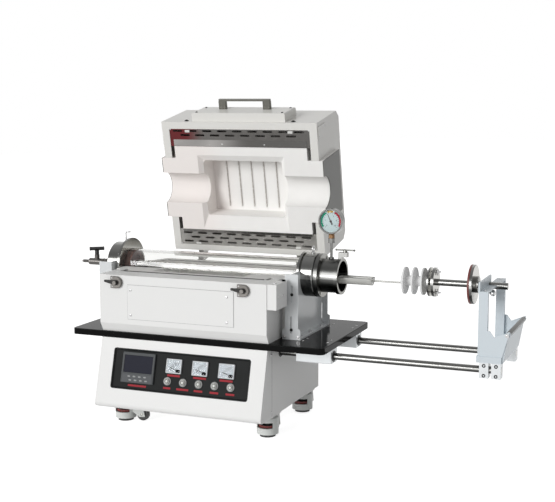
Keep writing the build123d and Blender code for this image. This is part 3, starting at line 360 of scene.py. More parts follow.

# Control panel: a black sheet-metal tray let into the fascia, with thin grey
# strips round its rim that are painted light, where light falls on its sloped
# edge. The bare red strips under the instruments are printed film.
panel_black = coated("panel_black", (0.013, 0.014, 0.014), 0.6, gloss=0.12)
dress(panel_black, "control_panel")
label_red = coated("label_red", (0.36, 0.03, 0.04), 0.6, gloss=0.15, mottle=0.05, mottle_scale=120)
fascia = face((0, -219, 277.5), (1, 0, 0), (0, 0.26056, 0.96546))
screen_x = -139
meter_xs = -20.3, 65.8, 151.9
button_xs = -38.5, 13.3, 65.1, 116.9, 168.7
labels = bmesh.new()
under_meters = [(x, -97.5, 42) for x in meter_xs]
under_buttons = [(x, -136, wide) for x, wide in zip(button_xs, (24, 40, 28, 28, 28))]
for x, y, wide in [(screen_x, -138.5, 62), *under_meters, *under_buttons]:
    slab(labels, x, y, wide, 6, -5.1, -4.6, corner=0.8)
built("red_label_strips", labels, fascia, label_red, "furnace")
# Painted light: these grey strips stand for light falling on the tray's sloped rim.
trim = bmesh.new()
for y in (-30.2, -150.8):
    slab(trim, 0, y, 438, 1.0, -0.6, 0.15, corner=0.4, chamfer=0.1)
for x in (-225.8, 225.8):
    slab(trim, x, -90.5, 1.0, 108, -0.6, 0.15, corner=0.4, chamfer=0.1)
rim_painted_light_grey = coated("panel_rim_painted_light", (0.06, 0.065, 0.065), 0.5, gloss=0.2)
built("panel_rim_lit_edge", trim, fascia, rim_painted_light_grey, "furnace")

# Temperature controller: a moulded dark grey case pressed into the panel from
# the front, with a glossy navy screen above two rows of small soft keys.
case_grey = coated("controller_case", (0.075, 0.08, 0.083), 0.55, gloss=0.2)
dress(case_grey, "controller")
screen_glass = coated("screen_glass", (0.006, 0.007, 0.018), 0.3, gloss=0.05)
screen = bmesh.new()
slab(screen, screen_x, -74, 96, 52, -0.1, 1.2, corner=1.5, chamfer=0.4)
built("controller_screen", screen, fascia, screen_glass, "furnace")
key_grey = coated("key_strip", (0.10, 0.105, 0.11), 0.6, gloss=0.2)
strip = bmesh.new()
slab(strip, screen_x, -117, 100, 25, 1.8, 2.6, corner=2, chamfer=0.4)
built("controller_key_strip", strip, fascia, key_grey, "furnace")
key_light = coated("key_rubber", (0.3, 0.31, 0.31), 0.6)
keys = bmesh.new()
for row, y in enumerate((-111.5, -122.5)):
    for i in range(4):
        slab(keys, -166 + 18 * i + 5 * row, y, 9, 4.5, 2.3, 3.6, corner=1.8, chamfer=0.6)
built("controller_keys", keys, fascia, key_light, "furnace")

# Panel meters: three square moving-coil meters in white plastic frames. Each
# has a printed card, a needle on a corner pivot under a dark cover, and glass.
meter_white = coated("meter_case", (0.60, 0.62, 0.64), 0.45, gloss=0.25)
dress(meter_white, "panel_meters")
card_white = coated("meter_card", (0.55, 0.60, 0.64), 0.7, gloss=0.1, mottle=0.02)
ink = coated("scale_ink", (0.015, 0.015, 0.02), 0.7, gloss=0.08)
needle_black = coated("meter_needle", (0.012, 0.012, 0.012), 0.6, gloss=0.1)
cover_black = coated("meter_pivot_cover", (0.010, 0.010, 0.012), 0.6, gloss=0.1)


def glazed(name):
    """Thin clear glass: light passes straight through, with a faint shine and a breath of dust."""
    material = bpy.data.materials.new(name)
    tree = emptied(material)
    open_way = linked(tree, "BsdfTransparent", {"Color": (1, 1, 1, 1)})
    shine = linked(tree, "BsdfGlossy", {"Roughness": 0.03})
    spot = linked(tree, "TexCoord")
    dust = linked(tree, "TexNoise", {"Scale": 40}, {"Vector": spot.outputs["Object"]})
    haze = linked(
        tree, "MapRange", {"To Min": 0.003, "To Max": 0.008}, {"Value": dust.outputs["Fac"]},
    )
    share = linked(
        tree, "MixShader",
        feeds={"Fac": haze.outputs["Result"], 1: open_way.outputs[0], 2: shine.outputs[0]},
    )
    linked(tree, "OutputMaterial", feeds={"Surface": share.outputs[0]})
    return material


def as_mesh(curve, name):
    """A bevelled or filled curve turned into a plain mesh."""
    drawn = bpy.data.objects.new(name, curve)
    bpy.context.collection.objects.link(drawn)
    bpy.context.view_layer.update()
    graph = bpy.context.evaluated_depsgraph_get()
    mesh = bpy.data.meshes.new_from_object(drawn.evaluated_get(graph))
    bpy.data.objects.remove(drawn)
    return mesh


def wire(name, runs, radius, where, material, body, sides=3, loop=False):
    """Round wire along one or more runs of points; every run is one spline."""
    curve = bpy.data.curves.new(name, "CURVE")
    curve.dimensions = "3D"
    curve.bevel_depth = radius
    curve.bevel_resolution = sides
    curve.use_fill_caps = True
    for points in runs:
        spline = curve.splines.new("POLY")
        spline.points.add(len(points) - 1)
        spline.use_cyclic_u = loop
        for knot, point in zip(spline.points, points):
            knot.co = (*point, 1)
    return finished(name, as_mesh(curve, name), where, material, body)


def lettered(name, words, where, material, body):
    """Plain printed numbers: each is its text, its middle and its height."""
    whole = bmesh.new()
    for text, x, y, z, size in words:
        font = bpy.data.curves.new(name, "FONT")
        font.body = text
        font.size = size
        font.extrude = 0.08
        font.resolution_u = 3
        font.align_x = "CENTER"
        font.align_y = "CENTER"
        part = as_mesh(font, name)
        part.transform(Matrix.Translation((x, y, z)))
        whole.from_mesh(part)
    mesh = bpy.data.meshes.new(name)
    whole.to_mesh(mesh)
    whole.free()
    finished(name, mesh, where, material, body)


card_y = -69.5
for number, x in enumerate(meter_xs, start=1):
    card = bmesh.new()
    slab(card, x, card_y, 43.5, 36.5, -0.6, -0.3, corner=1)
    built(f"meter_card_{number}", card, fascia, card_white, "furnace")
    pivot = (x + 17, card_y - 14.5)
    arc = [(*point, -0.2) for point in on_circle(26, range(94, 178, 4), *pivot)]
    ticks = []
    for a in range(94, 178, 8):
        reach = 30 if a % 20 == 14 else 28
        ticks.append([(*on_circle(r, [a], *pivot)[0], -0.2) for r in (26, reach)])
    wire(f"meter_scale_{number}", [arc, *ticks], 0.42, fascia, ink, "furnace", sides=1)
    needle = [(*pivot, 0), (pivot[0] - 30, pivot[1] + 11, 0)]
    wire(f"meter_needle_{number}", [needle], 1.0, fascia, needle_black, "furnace", sides=1)
    cover = bmesh.new()
    slab(cover, x + 14.8, -83.2, 13.5, 9, -0.3, 1.2, corner=1.5, chamfer=0.5)
    turned(cover, (x + 14.5, -81.5), ((3.8, 0.9), (3.8, 1.5), (3.2, 2.0)), 32)
    built(f"meter_pivot_cover_{number}", cover, fascia, cover_black, "furnace")
    spots = on_circle(22, (168, 145, 122, 100), *pivot)
    marks = [(text, *spot, -0.2, 4.6) for text, spot in zip(("0", "10", "20", "30"), spots)]
    lettered(f"meter_numbers_{number}", marks, fascia, ink, "furnace")
    pane = bmesh.new()
    slab(pane, x, card_y, 43.6, 36.6, 1.0, 1.4, corner=1)
    built(f"meter_glass_{number}", pane, fascia, glazed(f"meter_glass_{number}"), "furnace")

# Push buttons: five turned metal buttons in bright bezels. Each cap carries a
# raised ring, pressed with it, and the caps are brushed steel.
chrome = coated(
    "chrome_trim", (0.20, 0.20, 0.195), 0.4, metal=0.12, gloss=0.3, mottle=0.4, mottle_scale=130,
)
dress(chrome, "button_bezels")
cap_steel = coated(
    "button_cap", (0.50, 0.51, 0.48), 0.4, metal=0.08, gloss=0.3, mottle=0.3, mottle_scale=150,
)
ring_dark = coated(
    "button_ring_dark", (0.07, 0.07, 0.065), 0.4, metal=0.2, gloss=0.2, mottle=0.2,
    mottle_scale=150,
)
for number, x in enumerate(button_xs, start=1):
    dress(cap_steel, f"push_button_{number}")
    ring = bmesh.new()
    turned(
        ring, (x, -115.5), ((4.2, 1.8), (6.3, 1.8), (6.2, 2.4), (5.8, 2.6), (4.6, 2.6), (4.2, 2.4)),
        40, hollow=True,
    )
    built(f"button_ring_{number}", ring, fascia, ring_dark, f"button_{number}")

# Worktop: a shelf of black gloss laminate with a rounded arris. Eight countersunk
# screws go down through its right end into the two bearing blocks under it.
black_top = coated("worktop_gloss", (0.006, 0.006, 0.006), 0.12, mottle=0.15, ior=1.12)
dress(black_top, "worktop")
top = face((0, 0, 296.5), *TOP)
places = [(x, y) for x in (351.6, 427.4) for y in (-132, -96, 100, 140)]
screws("worktop_screws", places, 3.6, top, bright_steel, "furnace", recess="hex", tall=0.3)

# Bearing blocks: two milled aluminium blocks hung under the shelf. A rubber
# wiper ring seals each bore, and grub screws on the front lock the bushes.
block_aluminium = coated(
    "block_aluminium", (0.6, 0.62, 0.63), 0.35, metal=0.55, mottle=0.04, mottle_scale=50,
)
dress(block_aluminium, "bearing_blocks")
wiper = coated("wiper_rubber", (0.015, 0.015, 0.015), 0.5)
for x, side, hand in ((443, 1, "right"), (335, -1, "left")):
    seals = bmesh.new()
    for y in (-rail_y, rail_y):
        turned(
            seals, (side * y, rail_z),
            ((16.5, -0.3), (16.5, 1.2), (15.5, 1.8), (12, 1.8), (10.4, 0.9), (10.4, -3)),
            hollow=True,
        )
    built(f"wiper_rings_{hand}", seals, face((x, 0, 0), (0, side, 0), (0, 0, 1)), wiper, "furnace")
screws(
    "bush_grub_screws", [(362, 268), (415, 268)], 2.6, face((0, -145, 0), *FRONT), bright_steel,
    "furnace", recess="hex", tall=0.3,
)

# Furnace body: folded steel, white enamel, with a plate over the front wiring
# and a small terminal box on the right wall. The screws are pan-head.
dress(white_enamel, "housing_shell")
front = face((0, -228, 0), *FRONT)
places = [(x, z) for x in (-169, 150) for z in (429, 353)]
screws("access_plate_screws", places, 3.8, front, bright_steel, "furnace")
# Painted shade: thin grey strips round the access plate stand for the shadow in the gap at its
# edge.
plate_gap_shade_grey = coated("plate_gap_painted_shade", (0.42, 0.42, 0.42), 0.7)
gap = bmesh.new()
for y in (445.6, 340.4):
    slab(gap, -4, y, 351, 1.1, 1.0, 1.65, corner=0.4, chamfer=0.1)
for x in (-179.6, 171.6):
    slab(gap, x, 393, 1.1, 104, 1.0, 1.65, corner=0.4, chamfer=0.1)
built("access_plate_gap_shade", gap, face((0, -225.5, 0), *FRONT), plate_gap_shade_grey, "furnace")
screws(
    "terminal_box_screws", [(-202, 436), (-172, 436)], 3.4, face((304.5, 0, 0), *RIGHT),
    bright_steel, "furnace",
)
box_top = face((0, 0, 473), *TOP)
screws("terminal_box_top_screw", [(288, -196)], 3.6, box_top, bright_steel, "furnace", washer=6.2)
plug = bmesh.new()
turned(plug, (297, -149), ((5, -0.5), (5.6, 0.4), (5.6, 3.4), (4.6, 4.4), (2.6, 4.6)), 36)
built("terminal_box_plug", plug, box_top, black_and_seam_shade, "furnace")

# Rim gap: a dark grey braided rope laid in the gap between the steel rim and the
# fibre, along the front and the back of the lower chamber. Its dark colour is
# painted shade, standing for the shadow in that gap.
rim_gap_shade_grey = coated("rim_gap_shade", (0.09, 0.09, 0.085), 0.9, gloss=0.05, mottle=0.3, mottle_scale=300)
rope = bmesh.new()
for y in (-147, 147):
    for i in range(94):
        turned(rope, (-233.5 + 5 * i, y), ((1.6, 468), (2.7, 469), (2.7, 473.8), (1.8, 474.8)), 8)
built("rim_gap_shade_rope", rope, bench, rim_gap_shade_grey, "furnace")

# Latches: zinc-plated bases with a stud, and a dark lever that swings up into
# the lid. A hex nut keeps each lever on its stud, over two base rivets.
zinc = coated("zinc_plate", (0.30, 0.295, 0.28), 0.3, metal=0.85, mottle=0.3, mottle_scale=40)
latch_zinc = coated(
    "latch_zinc", (0.17, 0.16, 0.15), 0.35, metal=0.6, gloss=0.3, mottle=0.35, mottle_scale=45,
)
dress(latch_zinc, "latch_bases")
dark_steel = coated(
    "dark_steel", (0.022, 0.021, 0.020), 0.45, gloss=0.25, mottle=0.1, mottle_scale=50,
)
dress(dark_steel, "latch_lever_left", "latch_lever_right")
studs = (-214, 451.5), (204.5, 451.5)
screws("latch_nuts", studs, 6.5, face((0, -242.4, 0), *FRONT), latch_zinc, "furnace", recess="bolt")
places = [(x - 13, z + rise) for x, z in studs for rise in (-13, 13)]
screws(
    "latch_rivets", places, 2.2, face((0, -235.5, 0), *FRONT), bright_steel, "furnace",
    recess="hex", tall=0.4,
)

# Fibre lining: two white vacuum-formed ceramic-fibre blocks, soft and chalky,
# with a faint warm stain from heat inside the lid. The lid's block is painted
# lighter than the lower one, as painted light for the brighter open lid.
fibre = coated(
    "fibreboard", (0.85, 0.84, 0.82), 0.95, gloss=0.05, mottle=0.02, mottle_scale=30, grain=0.3,
    grain_scale=400,
)
dress(fibre, "lower_insulation")


def stained(material, start, end, colour, strength=1.0):
    """A heat stain that comes in along the length of the furnace, from start to end in metres."""
    tree = material.node_tree
    skin = tree.nodes["Principled BSDF"]
    under = skin.inputs["Base Color"].links[0].from_socket
    spot = linked(tree, "TexCoord")
    split = linked(tree, "SeparateXYZ", feeds={0: spot.outputs["Object"]})
    spread = linked(
        tree, "MapRange", {"From Min": start, "From Max": end, "To Max": strength},
        {"Value": split.outputs["X"]}, interpolation_type="SMOOTHSTEP",
    )
    blend = linked(
        tree, "Mix", {"B": (*colour, 1)}, {"Factor": spread.outputs["Result"], "A": under},
        data_type="RGBA",
    )
    tree.links.new(blend.outputs["Result"], skin.inputs["Base Color"])
    return material


# Painted light: the lid's fibre is a lighter copy of the lower fibre, for the brighter chamber.
lid_fibre_painted_light = coated(
    "lid_fibreboard_painted_light", (0.92, 0.91, 0.89), 0.95, gloss=0.05, mottle=0.02, mottle_scale=30, grain=0.3,
    grain_scale=400,
)
stained(lid_fibre_painted_light, -0.27, -0.40, (0.92, 0.86, 0.83), 0.8)
dress(lid_fibre_painted_light, "lid_insulation")

# Port end plates: thin dark steel sheets cut to a half-round and laid flat on
# the outer ends of the lid's two fibre ports.
port_plate_steel = coated(
    "port_end_plate_steel", (0.115, 0.115, 0.108), 0.4, metal=0.3, gloss=0.3, mottle=0.1,
)
# Pieces on the lid are drawn where they lie when it is shut, then swung open.
hinge_y, hinge_z, lid_open = 256.3, 449.3, -78.2
hinge_line = Matrix.Translation((0, hinge_y, hinge_z))
raised = bench @ hinge_line @ Matrix.Rotation(radians(lid_open), 4, "X") @ hinge_line.inverted()


def punched(name, edge, holes, thick, where, material, body):
    """A flat sheet cut to an outline, with real holes, its middle on the face it is drawn on."""
    curve = bpy.data.curves.new(name, "CURVE")
    curve.dimensions = "2D"
    curve.fill_mode = "BOTH"
    curve.extrude = thick / 2
    for points in [edge, *holes]:
        spline = curve.splines.new("POLY")
        spline.points.add(len(points) - 1)
        spline.use_cyclic_u = True
        for knot, point in zip(spline.points, points):
            knot.co = (*point, 0, 1)
    return finished(name, as_mesh(curve, name), where, material, body)


port_z = 474.2
for side, hand in ((1, "right"), (-1, "left")):
    edge = [
        (-103, port_z), *on_circle(52.5, range(180, -1, -6), y=port_z), (103, port_z), (103, 633),
        (-103, 633),
    ]
    punched(
        f"port_end_plate_{hand}", edge, [], 2.4,
        face((side * 288.3, 0, 0), (0, side, 0), (0, 0, 1), raised), port_plate_steel, "lid",
    )

# Heating coils: resistance wire wound into long springs, five on the floor of
# each chamber. Each one ends in two short tails laid along the fibre.
coil_wire = coated("coil_wire", (0.42, 0.38, 0.35), 0.55, metal=0.4, mottle=0.2, mottle_scale=90)
turns, per_turn, coil_radius = 68, 10, 1.9
chambers = (
    ("lower_heating_coils", 388.3, 1, bench, "furnace", "lower_coils"),
    ("lid_heating_coils", 558.7, -1, raised, "lid", "lid_coils"),
)
for name, wall, sense, where, body, bar in chambers:
    runs = []
    for i in range(5):
        x = (i - 2) * 45.2
        tail_z = wall + sense * 0.6
        run = [(x, -84, tail_z), (x, -83, tail_z)]
        for step in range(turns * per_turn + 1):
            angle = 2 * pi * step / per_turn
            y = -82 + 164 * step / (turns * per_turn)
            z = wall + sense * (2.4 - coil_radius * cos(angle))
            run.append((x + coil_radius * sin(angle), y, z))
        runs.append([*run, (x, 83, tail_z), (x, 84, tail_z)])
    spring = wire(name, runs, 0.5, where, coil_wire, body, sides=0)
    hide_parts(bar)

# Lid: the upper half of the steel case, in warmer enamel. A small cover plate
# in the same enamel closes the side, and dark cap screws hold the front.
lid_enamel = coated("lid_enamel", (0.76, 0.75, 0.72), 0.35, gloss=0.4, mottle=0.012)
dress(lid_enamel, "lid_shell", "lid_box")
lid_right = face((275, 0, 0), *RIGHT, raised)
cover = bmesh.new()
slab(cover, -192.5, 512.5, 41, 67, -0.3, 3, corner=2, chamfer=0.6)
built("lid_side_cover", cover, lid_right, lid_enamel, "lid")
cover_face = face((278, 0, 0), *RIGHT, raised)
screws("lid_side_cover_screws", [(-205, 537), (-180, 488)], 2.8, cover_face, bright_steel, "lid")
cap_black = coated("cap_screw_black", (0.012, 0.012, 0.012), 0.5, gloss=0.25)
lid_front = face((0, -226.5, 0), *FRONT, raised)
screws(
    "lid_front_screws", [(-190, 492), (190, 492)], 4.6, lid_front, cap_black, "lid", recess="hex",
    washer=7.5,
)
box_front = face((0, -254.5, 0), *FRONT, raised)
places = [(x, z) for x in (-152, 152) for z in (496, 571)]
screws("lid_box_screws", places, 3.6, box_front, cap_black, "lid")

# Lid vents: two strips of thin steel with rows of punched slots, screwed over
# the gap between the fibre and the case, each with two folded keepers. Heat has
# stained one end of the front strip red.
vent_front = coated(
    "vent_steel_front", (0.10, 0.095, 0.09), 0.35, metal=0.6, mottle=0.3, mottle_scale=25,
)
stained(vent_front, -0.36, -0.44, (0.10, 0.008, 0.010))
vent_back = coated(
    "vent_steel_back", (0.40, 0.39, 0.37), 0.3, metal=0.7, mottle=0.2, mottle_scale=25,
)


def slot_edge(x, y, length, width):
    """The round-ended outline of one punched slot."""
    r = width / 2
    right = on_circle(r, range(-90, 91, 30), x + (length / 2 - r), y)
    left = on_circle(r, range(90, 271, 30), x - (length / 2 - r), y)
    return right + left


vent_plane = face((0, 0, 476.75), *TOP, raised)
strips = (
    ("front", -207.5, -144.5, (-196, -182), vent_front),
    ("back", 144.5, 204.5, (158, 173, 188), vent_back),
)
for hand, low, high, rows, material in strips:
    holes = []
    for row, y in enumerate(rows):
        for i in range(9):
            x = -220 + 54 * i + 27 * (row % 2)
            if x < 236:
                holes.append(slot_edge(x, y, 34, 6.5))
    edge = (-253, low), (253, low), (253, high), (-253, high)
    sheet = punched(f"vent_sheet_{hand}", edge, holes, 1.4, vent_plane, material, "lid")
    if hand == "front":
        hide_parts("lid_vents")
under = face((0, 0, 476), (1, 0, 0), (0, -1, 0), raised)
keeper_white = coated("keeper_white", (0.72, 0.72, 0.70), 0.4)
keepers = bmesh.new()
for x in (-183, 183):
    slab(keepers, x, 198, 17, 3, -0.5, 1.6, corner=0.8, chamfer=0.4)
    slab(keepers, x, 195, 17, 7, 1.2, 2.6, corner=0.8, chamfer=0.4)
    slab(keepers, x, -194, 18, 6, -0.5, 2.6, corner=0.8, chamfer=0.4)
built("vent_keepers", keepers, under, keeper_white, "lid")
corners = [(x, y) for x in (-246, 246) for y in (201, -197)]
screws("vent_screws", [*corners, (-60, 152), (90, 152)], 2.8, under, bright_steel, "lid")
rim_steel = coated("vent_rim_steel", (0.30, 0.29, 0.28), 0.2, metal=0.7, mottle=0.4)
stained(rim_steel, -0.36, -0.20, (0.06, 0.058, 0.054), 0.85)
strip = bmesh.new()
slab(strip, 0, 156, 474, 22, -0.5, 0.9, corner=1, chamfer=0.3)
slab(strip, 0, -149.5, 474, 9, -0.5, 0.9, corner=1, chamfer=0.3)
built("vent_rim_strips", strip, under, rim_steel, "lid")

# Lid handle: a bar of brushed steel on two blocks. Two bolts go through the
# front of the lid's box, one into each block.
handle_steel = coated(
    "handle_steel", (0.13, 0.127, 0.112), 0.35, metal=0.6, gloss=0.3, mottle=0.1, mottle_scale=70,
)
dress(handle_steel, "lid_handle")
bar_front = face((0, -286.6, 0), *FRONT, raised)
screws(
    "handle_bolts", [(-79, 549.5), (79, 549.5)], 4.2, bar_front, handle_steel, "lid", recess="hex",
    tall=0.3,
)

# Hinges: laser-cut zinc-plated arms on the lid turn on plain pins between the
# ears of two brackets, held to the body by hex bolts and to the pins by clips.
dress(zinc, "hinge_arms", "hinge_brackets")
places = [(x + a, 414 + b) for x in (180, -180) for a in (-23, 23) for b in (-15, 15)]
screws(
    "hinge_bracket_bolts", places, 4.2, face((0, 229.5, 0), *BACK), bolt_zinc, "furnace",
    recess="bolt", washer=5.2,
)
ears = (
    (-180, -1, "left_outer"), (-180, 1, "left_inner"), (180, -1, "right_inner"),
    (180, 1, "right_outer"),
)
for x, side, hand in ears:
    clip = bmesh.new()
    turned(clip, (0, 0), ((5.9, -1.2), (8.6, -1.2), (8.6, 0), (5.9, 0)), hollow=True)
    ear = face((x + side * 19.4, hinge_y, hinge_z), (0, side, 0), (0, 0, 1))
    built(f"hinge_clip_{hand}", clip, ear, bright_steel, "furnace")


# Left flange: turned and polished stainless steel over the end of the tube. Hex
# bolts clamp its ring, and a bent steel pin stands on its top.
def polished(name, tint=1.0, rough=0.16):
    """Turned stainless steel with painted reflection: painted dark where it looks up or down, a
    painted highlight band along its waist and a flat painted grey on its ends.
    """
    material = bpy.data.materials.new(name)
    material.use_nodes = True
    tree = material.node_tree
    skin = tree.nodes["Principled BSDF"]
    skin.inputs["Metallic"].default_value = 1.0
    skin.inputs["Roughness"].default_value = rough
    spot = linked(tree, "TexCoord")
    facing = linked(tree, "SeparateXYZ", feeds={0: spot.outputs["Normal"]})
    height = linked(tree, "MapRange", {"From Min": -1.0}, {"Value": facing.outputs["Z"]})
    band = linked(tree, "ValToRGB", feeds={"Fac": height.outputs["Result"]})
    band.color_ramp.interpolation = "EASE"
    # Painted reflection: these greys, chosen by which way the surface faces, stand for the room
    # mirrored in the steel.
    reflection_greys = (
        (0.0, 0.02), (0.22, 0.03), (0.36, 0.10), (0.44, 0.15), (0.485, 0.48), (0.545, 0.55),
        (0.60, 0.19), (0.75, 0.09), (0.93, 0.14), (1.0, 0.32),
    )
    ramp = band.color_ramp.elements
    while len(ramp) < len(reflection_greys):
        ramp.new(0.5)
    for mark, (place, grey) in zip(ramp, reflection_greys):
        mark.position = place
        mark.color = (grey * tint, grey * tint, grey * tint * 0.97, 1)
    endwise = linked(tree, "Math", feeds={0: facing.outputs["X"]}, operation="ABSOLUTE")
    edge = linked(
        tree, "MapRange", {"From Min": 0.75, "From Max": 0.95}, {"Value": endwise.outputs[0]},
    )
    # Faces that look along the tube get a flat painted reflection grey.
    end_reflection_grey = (0.36 * tint, 0.355 * tint, 0.33 * tint, 1)
    end_face = linked(
        tree, "Mix", {"B": end_reflection_grey},
        {"Factor": edge.outputs["Result"], "A": band.outputs["Color"]}, data_type="RGBA",
    )
    tree.links.new(end_face.outputs["Result"], skin.inputs["Base Color"])
    turning = linked(tree, "TexNoise", {"Scale": 700}, {"Vector": spot.outputs["Object"]})
    relief = linked(
        tree, "Bump", {"Strength": 0.03, "Distance": 0.0002}, {"Height": turning.outputs["Fac"]},
    )
    tree.links.new(relief.outputs["Normal"], skin.inputs["Normal"])
    return material


# This steel's dark and bright bands are painted reflection.
steel = polished("polished_steel")
dress(steel, "left_flange")
screws(
    "left_flange_bolts", on_circle(77, range(30, 390, 60), y=tube_z), 4.4,
    face((-298, 0, 0), *LEFT), bright_steel, "furnace", recess="bolt",
)
pin = [(x, 0, z) for x, z in ((-312, 540), (-312, 572), (-311, 575.5), (-308, 577), (-296, 577))]
wire("left_flange_pin", [pin], 2.6, bench, bright_steel, "furnace")

# Process tube: a straight clear quartz tube, open at the right. A brown ceramic
# plug with a steel gas jet closes its left end inside the flange.
quartz = coated("quartz_tube", (0.91, 0.91, 0.90), 0.02, clearness=1.0, ior=1.42)
dress(quartz, "process_tube")
brown_ceramic = coated("brown_ceramic", (0.12, 0.055, 0.045), 0.6, mottle=0.25, mottle_scale=60)
plug = bmesh.new()
turned(
    plug, (0, tube_z),
    ((9, 0), (45, 0), (45.5, 1), (45.5, 22), (44, 24), (30, 24), (28, 20), (9, 20)), 64,
    hollow=True,
)
end = face((-294, 0, 0), *RIGHT)
built("tube_end_plug", plug, end, brown_ceramic, "furnace")
jet = bmesh.new()
turned(jet, (0, tube_z), ((9, 4), (9, 24), (15, 25), (15, 34), (7, 60), (4, 62)), 48)
built("gas_jet", jet, end, zinc, "furnace")

# Right flange: polished stainless steel, clamped to the nozzle plate by six hex
# bolts over a black rubber gasket. An eye bolt on top is for lifting.
dress(steel, "right_flange")
rubber = coated("black_rubber", (0.015, 0.015, 0.015), 0.6)
dress(rubber, "flange_gasket")
screws(
    "nozzle_plate_bolts", on_circle(58.5, range(0, 360, 60), y=tube_z), 4.2,
    face((368, 0, 0), *RIGHT), bolt_zinc, "furnace", recess="bolt",
)
eye = [(334, y, z) for y, z in on_circle(8, range(0, 360, 15), y=552)]
wire("eye_bolt_ring", [eye], 2.0, bench, bright_steel, "furnace", loop=True)
shank = bmesh.new()
turned(shank, (334, 0), ((7, 539), (7.4, 540), (7.4, 542), (4, 543), (3, 545.5)), 32)
built("eye_bolt_shank", shank, bench, bright_steel, "furnace")

# Nozzle: a polished stainless loading mouth with a rolled rim. The clamp block
# on the rim holds a screw with a sliding bar, and each bar end has a ball.
# The nozzle's dark and bright bands are painted reflection.
nozzle_steel_painted_reflection = polished("nozzle_steel_painted_reflection", tint=0.62, rough=0.3)
dress(nozzle_steel_painted_reflection, "nozzle")
clamp_steel = coated(
    "clamp_steel", (0.16, 0.16, 0.15), 0.22, metal=1.0, mottle=0.2, mottle_scale=60,
)
dress(clamp_steel, "clamp_screw")
lip = [(425.5, y, z) for y, z in on_circle(53, range(0, 360, 5), y=tube_z)]
wire("nozzle_rim_bead", [lip], 2.2, bench, nozzle_steel_painted_reflection, "furnace", loop=True)
balls = bmesh.new()
for x in (-28.5, 28.5):
    turned(balls, (0, 0), [(r, x + along) for along, r in on_circle(3.4, range(165, 14, -15))], 24)
built("clamp_bar_balls", balls, face((436, 0, 553.5), *RIGHT), clamp_steel, "mouth_screw")

# Gas valve: a dark needle valve on a nipple, with a black T handle and a barbed
# tail for a hose. Two gland nuts sit on the nipple.
valve_dark = coated("valve_dark", (0.10, 0.095, 0.09), 0.3, metal=0.8, mottle=0.15, mottle_scale=60)
dress(valve_dark, "gas_valve")
handle_black = coated("valve_handle_black", (0.012, 0.012, 0.012), 0.4)
dress(handle_black, "valve_handle")
barbs = bmesh.new()
for i in range(4):
    turned(
        barbs, (0, tube_z),
        ((4.1, 3 + 5 * i), (5.4, 7 + 5 * i), (4.1, 7.4 + 5 * i), (3.9, 5 + 5 * i)), 32, hollow=True,
    )
built("hose_tail_barbs", barbs, face((-447, 0, 0), *LEFT), valve_dark, "furnace")
caps = bmesh.new()
for z in (-22.4, 22.4):
    turned(caps, (0, 0), ((3, z - 1.2), (6.6, z - 1.2), (6.9, z), (6.6, z + 1.2), (3, z + 1.2)), 32)
tilt = Vector((0.8, 0.6, 0)).to_track_quat("Z", "Y").to_matrix().to_4x4()
bar = Matrix.Translation((-421, 0, 516.5)) @ tilt
built("valve_handle_caps", caps, bench @ bar, handle_black, "valve_knob")
nuts = bmesh.new()
for x in (20, 31):
    turned(
        nuts, (0, tube_z), ((7, x), (12.6, x + 0.5, "hex"), (12.6, x + 7, "hex"), (7, x + 7.5)), 36,
    )
built("valve_gland_nuts", nuts, face((-421, 0, 0), *RIGHT), valve_dark, "furnace")

# Pressure gauge: a bright steel case on a brass fitting. Its printed dial has a
# green, a yellow and a red sector, a tick scale and numbers, under a domed glass.
gauge_steel = coated(
    "gauge_steel", (0.17, 0.17, 0.165), 0.25, metal=1.0, mottle=0.25, mottle_scale=50,
)
dress(gauge_steel, "pressure_gauge")
dress(handle_black, "gauge_pointer")
dial = face((392, 0, 639), *FRONT)
dial_blue = coated("dial_card", (0.58, 0.70, 0.71), 0.7, gloss=0.1, mottle=0.02)
card_z = 8.4
card = bmesh.new()
turned(
    card, (0, 0), ((33.6, 7.8), (33.6, 8.15), (33.2, 8.3), (2.0, 8.3), (2.0, 7.8)), 72, hollow=True,
)
built("gauge_dial", card, dial, dial_blue, "furnace")
sectors = (
    ("green", (0.01, 0.26, 0.15), 118, 216),
    ("yellow", (0.50, 0.30, 0.05), 76, 112),
    ("red", (0.42, 0.03, 0.05), -34, 70),
)
printed = dial @ Matrix.Translation((0, 0, 8.38))
for name, colour, start, end in sectors:
    band = on_circle(32, range(start, end + 1, 7)) + on_circle(26.4, range(end, start - 1, -7))
    paint = coated(f"sector_{name}", colour, 0.7, gloss=0.1)
    punched(f"gauge_sector_{name}", band, [], 0.16, printed, paint, "furnace")
marks = range(-45, 226, 15)
ticks = [
    [(*low, card_z), (*high, card_z)]
    for low, high in zip(on_circle(22.8, marks), on_circle(26.0, marks))
]
wire("gauge_ticks", ticks, 0.45, dial, ink, "furnace", sides=0)
spots = on_circle(18, (225, 171, 117, 63, 9, -45))
numbers = [(text, *spot, card_z, 6.4) for text, spot in zip(("0", "2", "4", "6", "8", "10"), spots)]
lettered("gauge_numbers", numbers, dial, ink, "furnace")
bezel = bmesh.new()
rings = (
    (33.9, 11.6), (33.9, 12.9), (35, 13.6), (37, 13.6), (38.3, 12.6), (38.3, 8), (37.6, 7.4),
    (37.6, 11.6),
)
turned(bezel, (0, 0), rings, 72, hollow=True)
built("gauge_bezel", bezel, dial, gauge_steel, "furnace")
glass = bmesh.new()
turned(glass, (0, 0), ((33.8, 11.6), (33.8, 12.1), (28, 12.6), (16, 12.9), (4, 13.0)), 64)
built("gauge_glass", glass, dial, glazed("gauge_glass"), "furnace")
brass = coated("brass", (0.22, 0.12, 0.055), 0.4, metal=0.4, gloss=0.3, mottle=0.2, mottle_scale=80)
fitting = bmesh.new()
rings = (
    (6, 587), (9.7, 587.4, "hex"), (9.7, 596, "hex"), (8.6, 597), (8.6, 599), (9.4, 600),
    (9.4, 603), (6, 604),
)
turned(fitting, (392, 0), rings)
built("gauge_brass_fitting", fitting, bench, brass, "furnace")

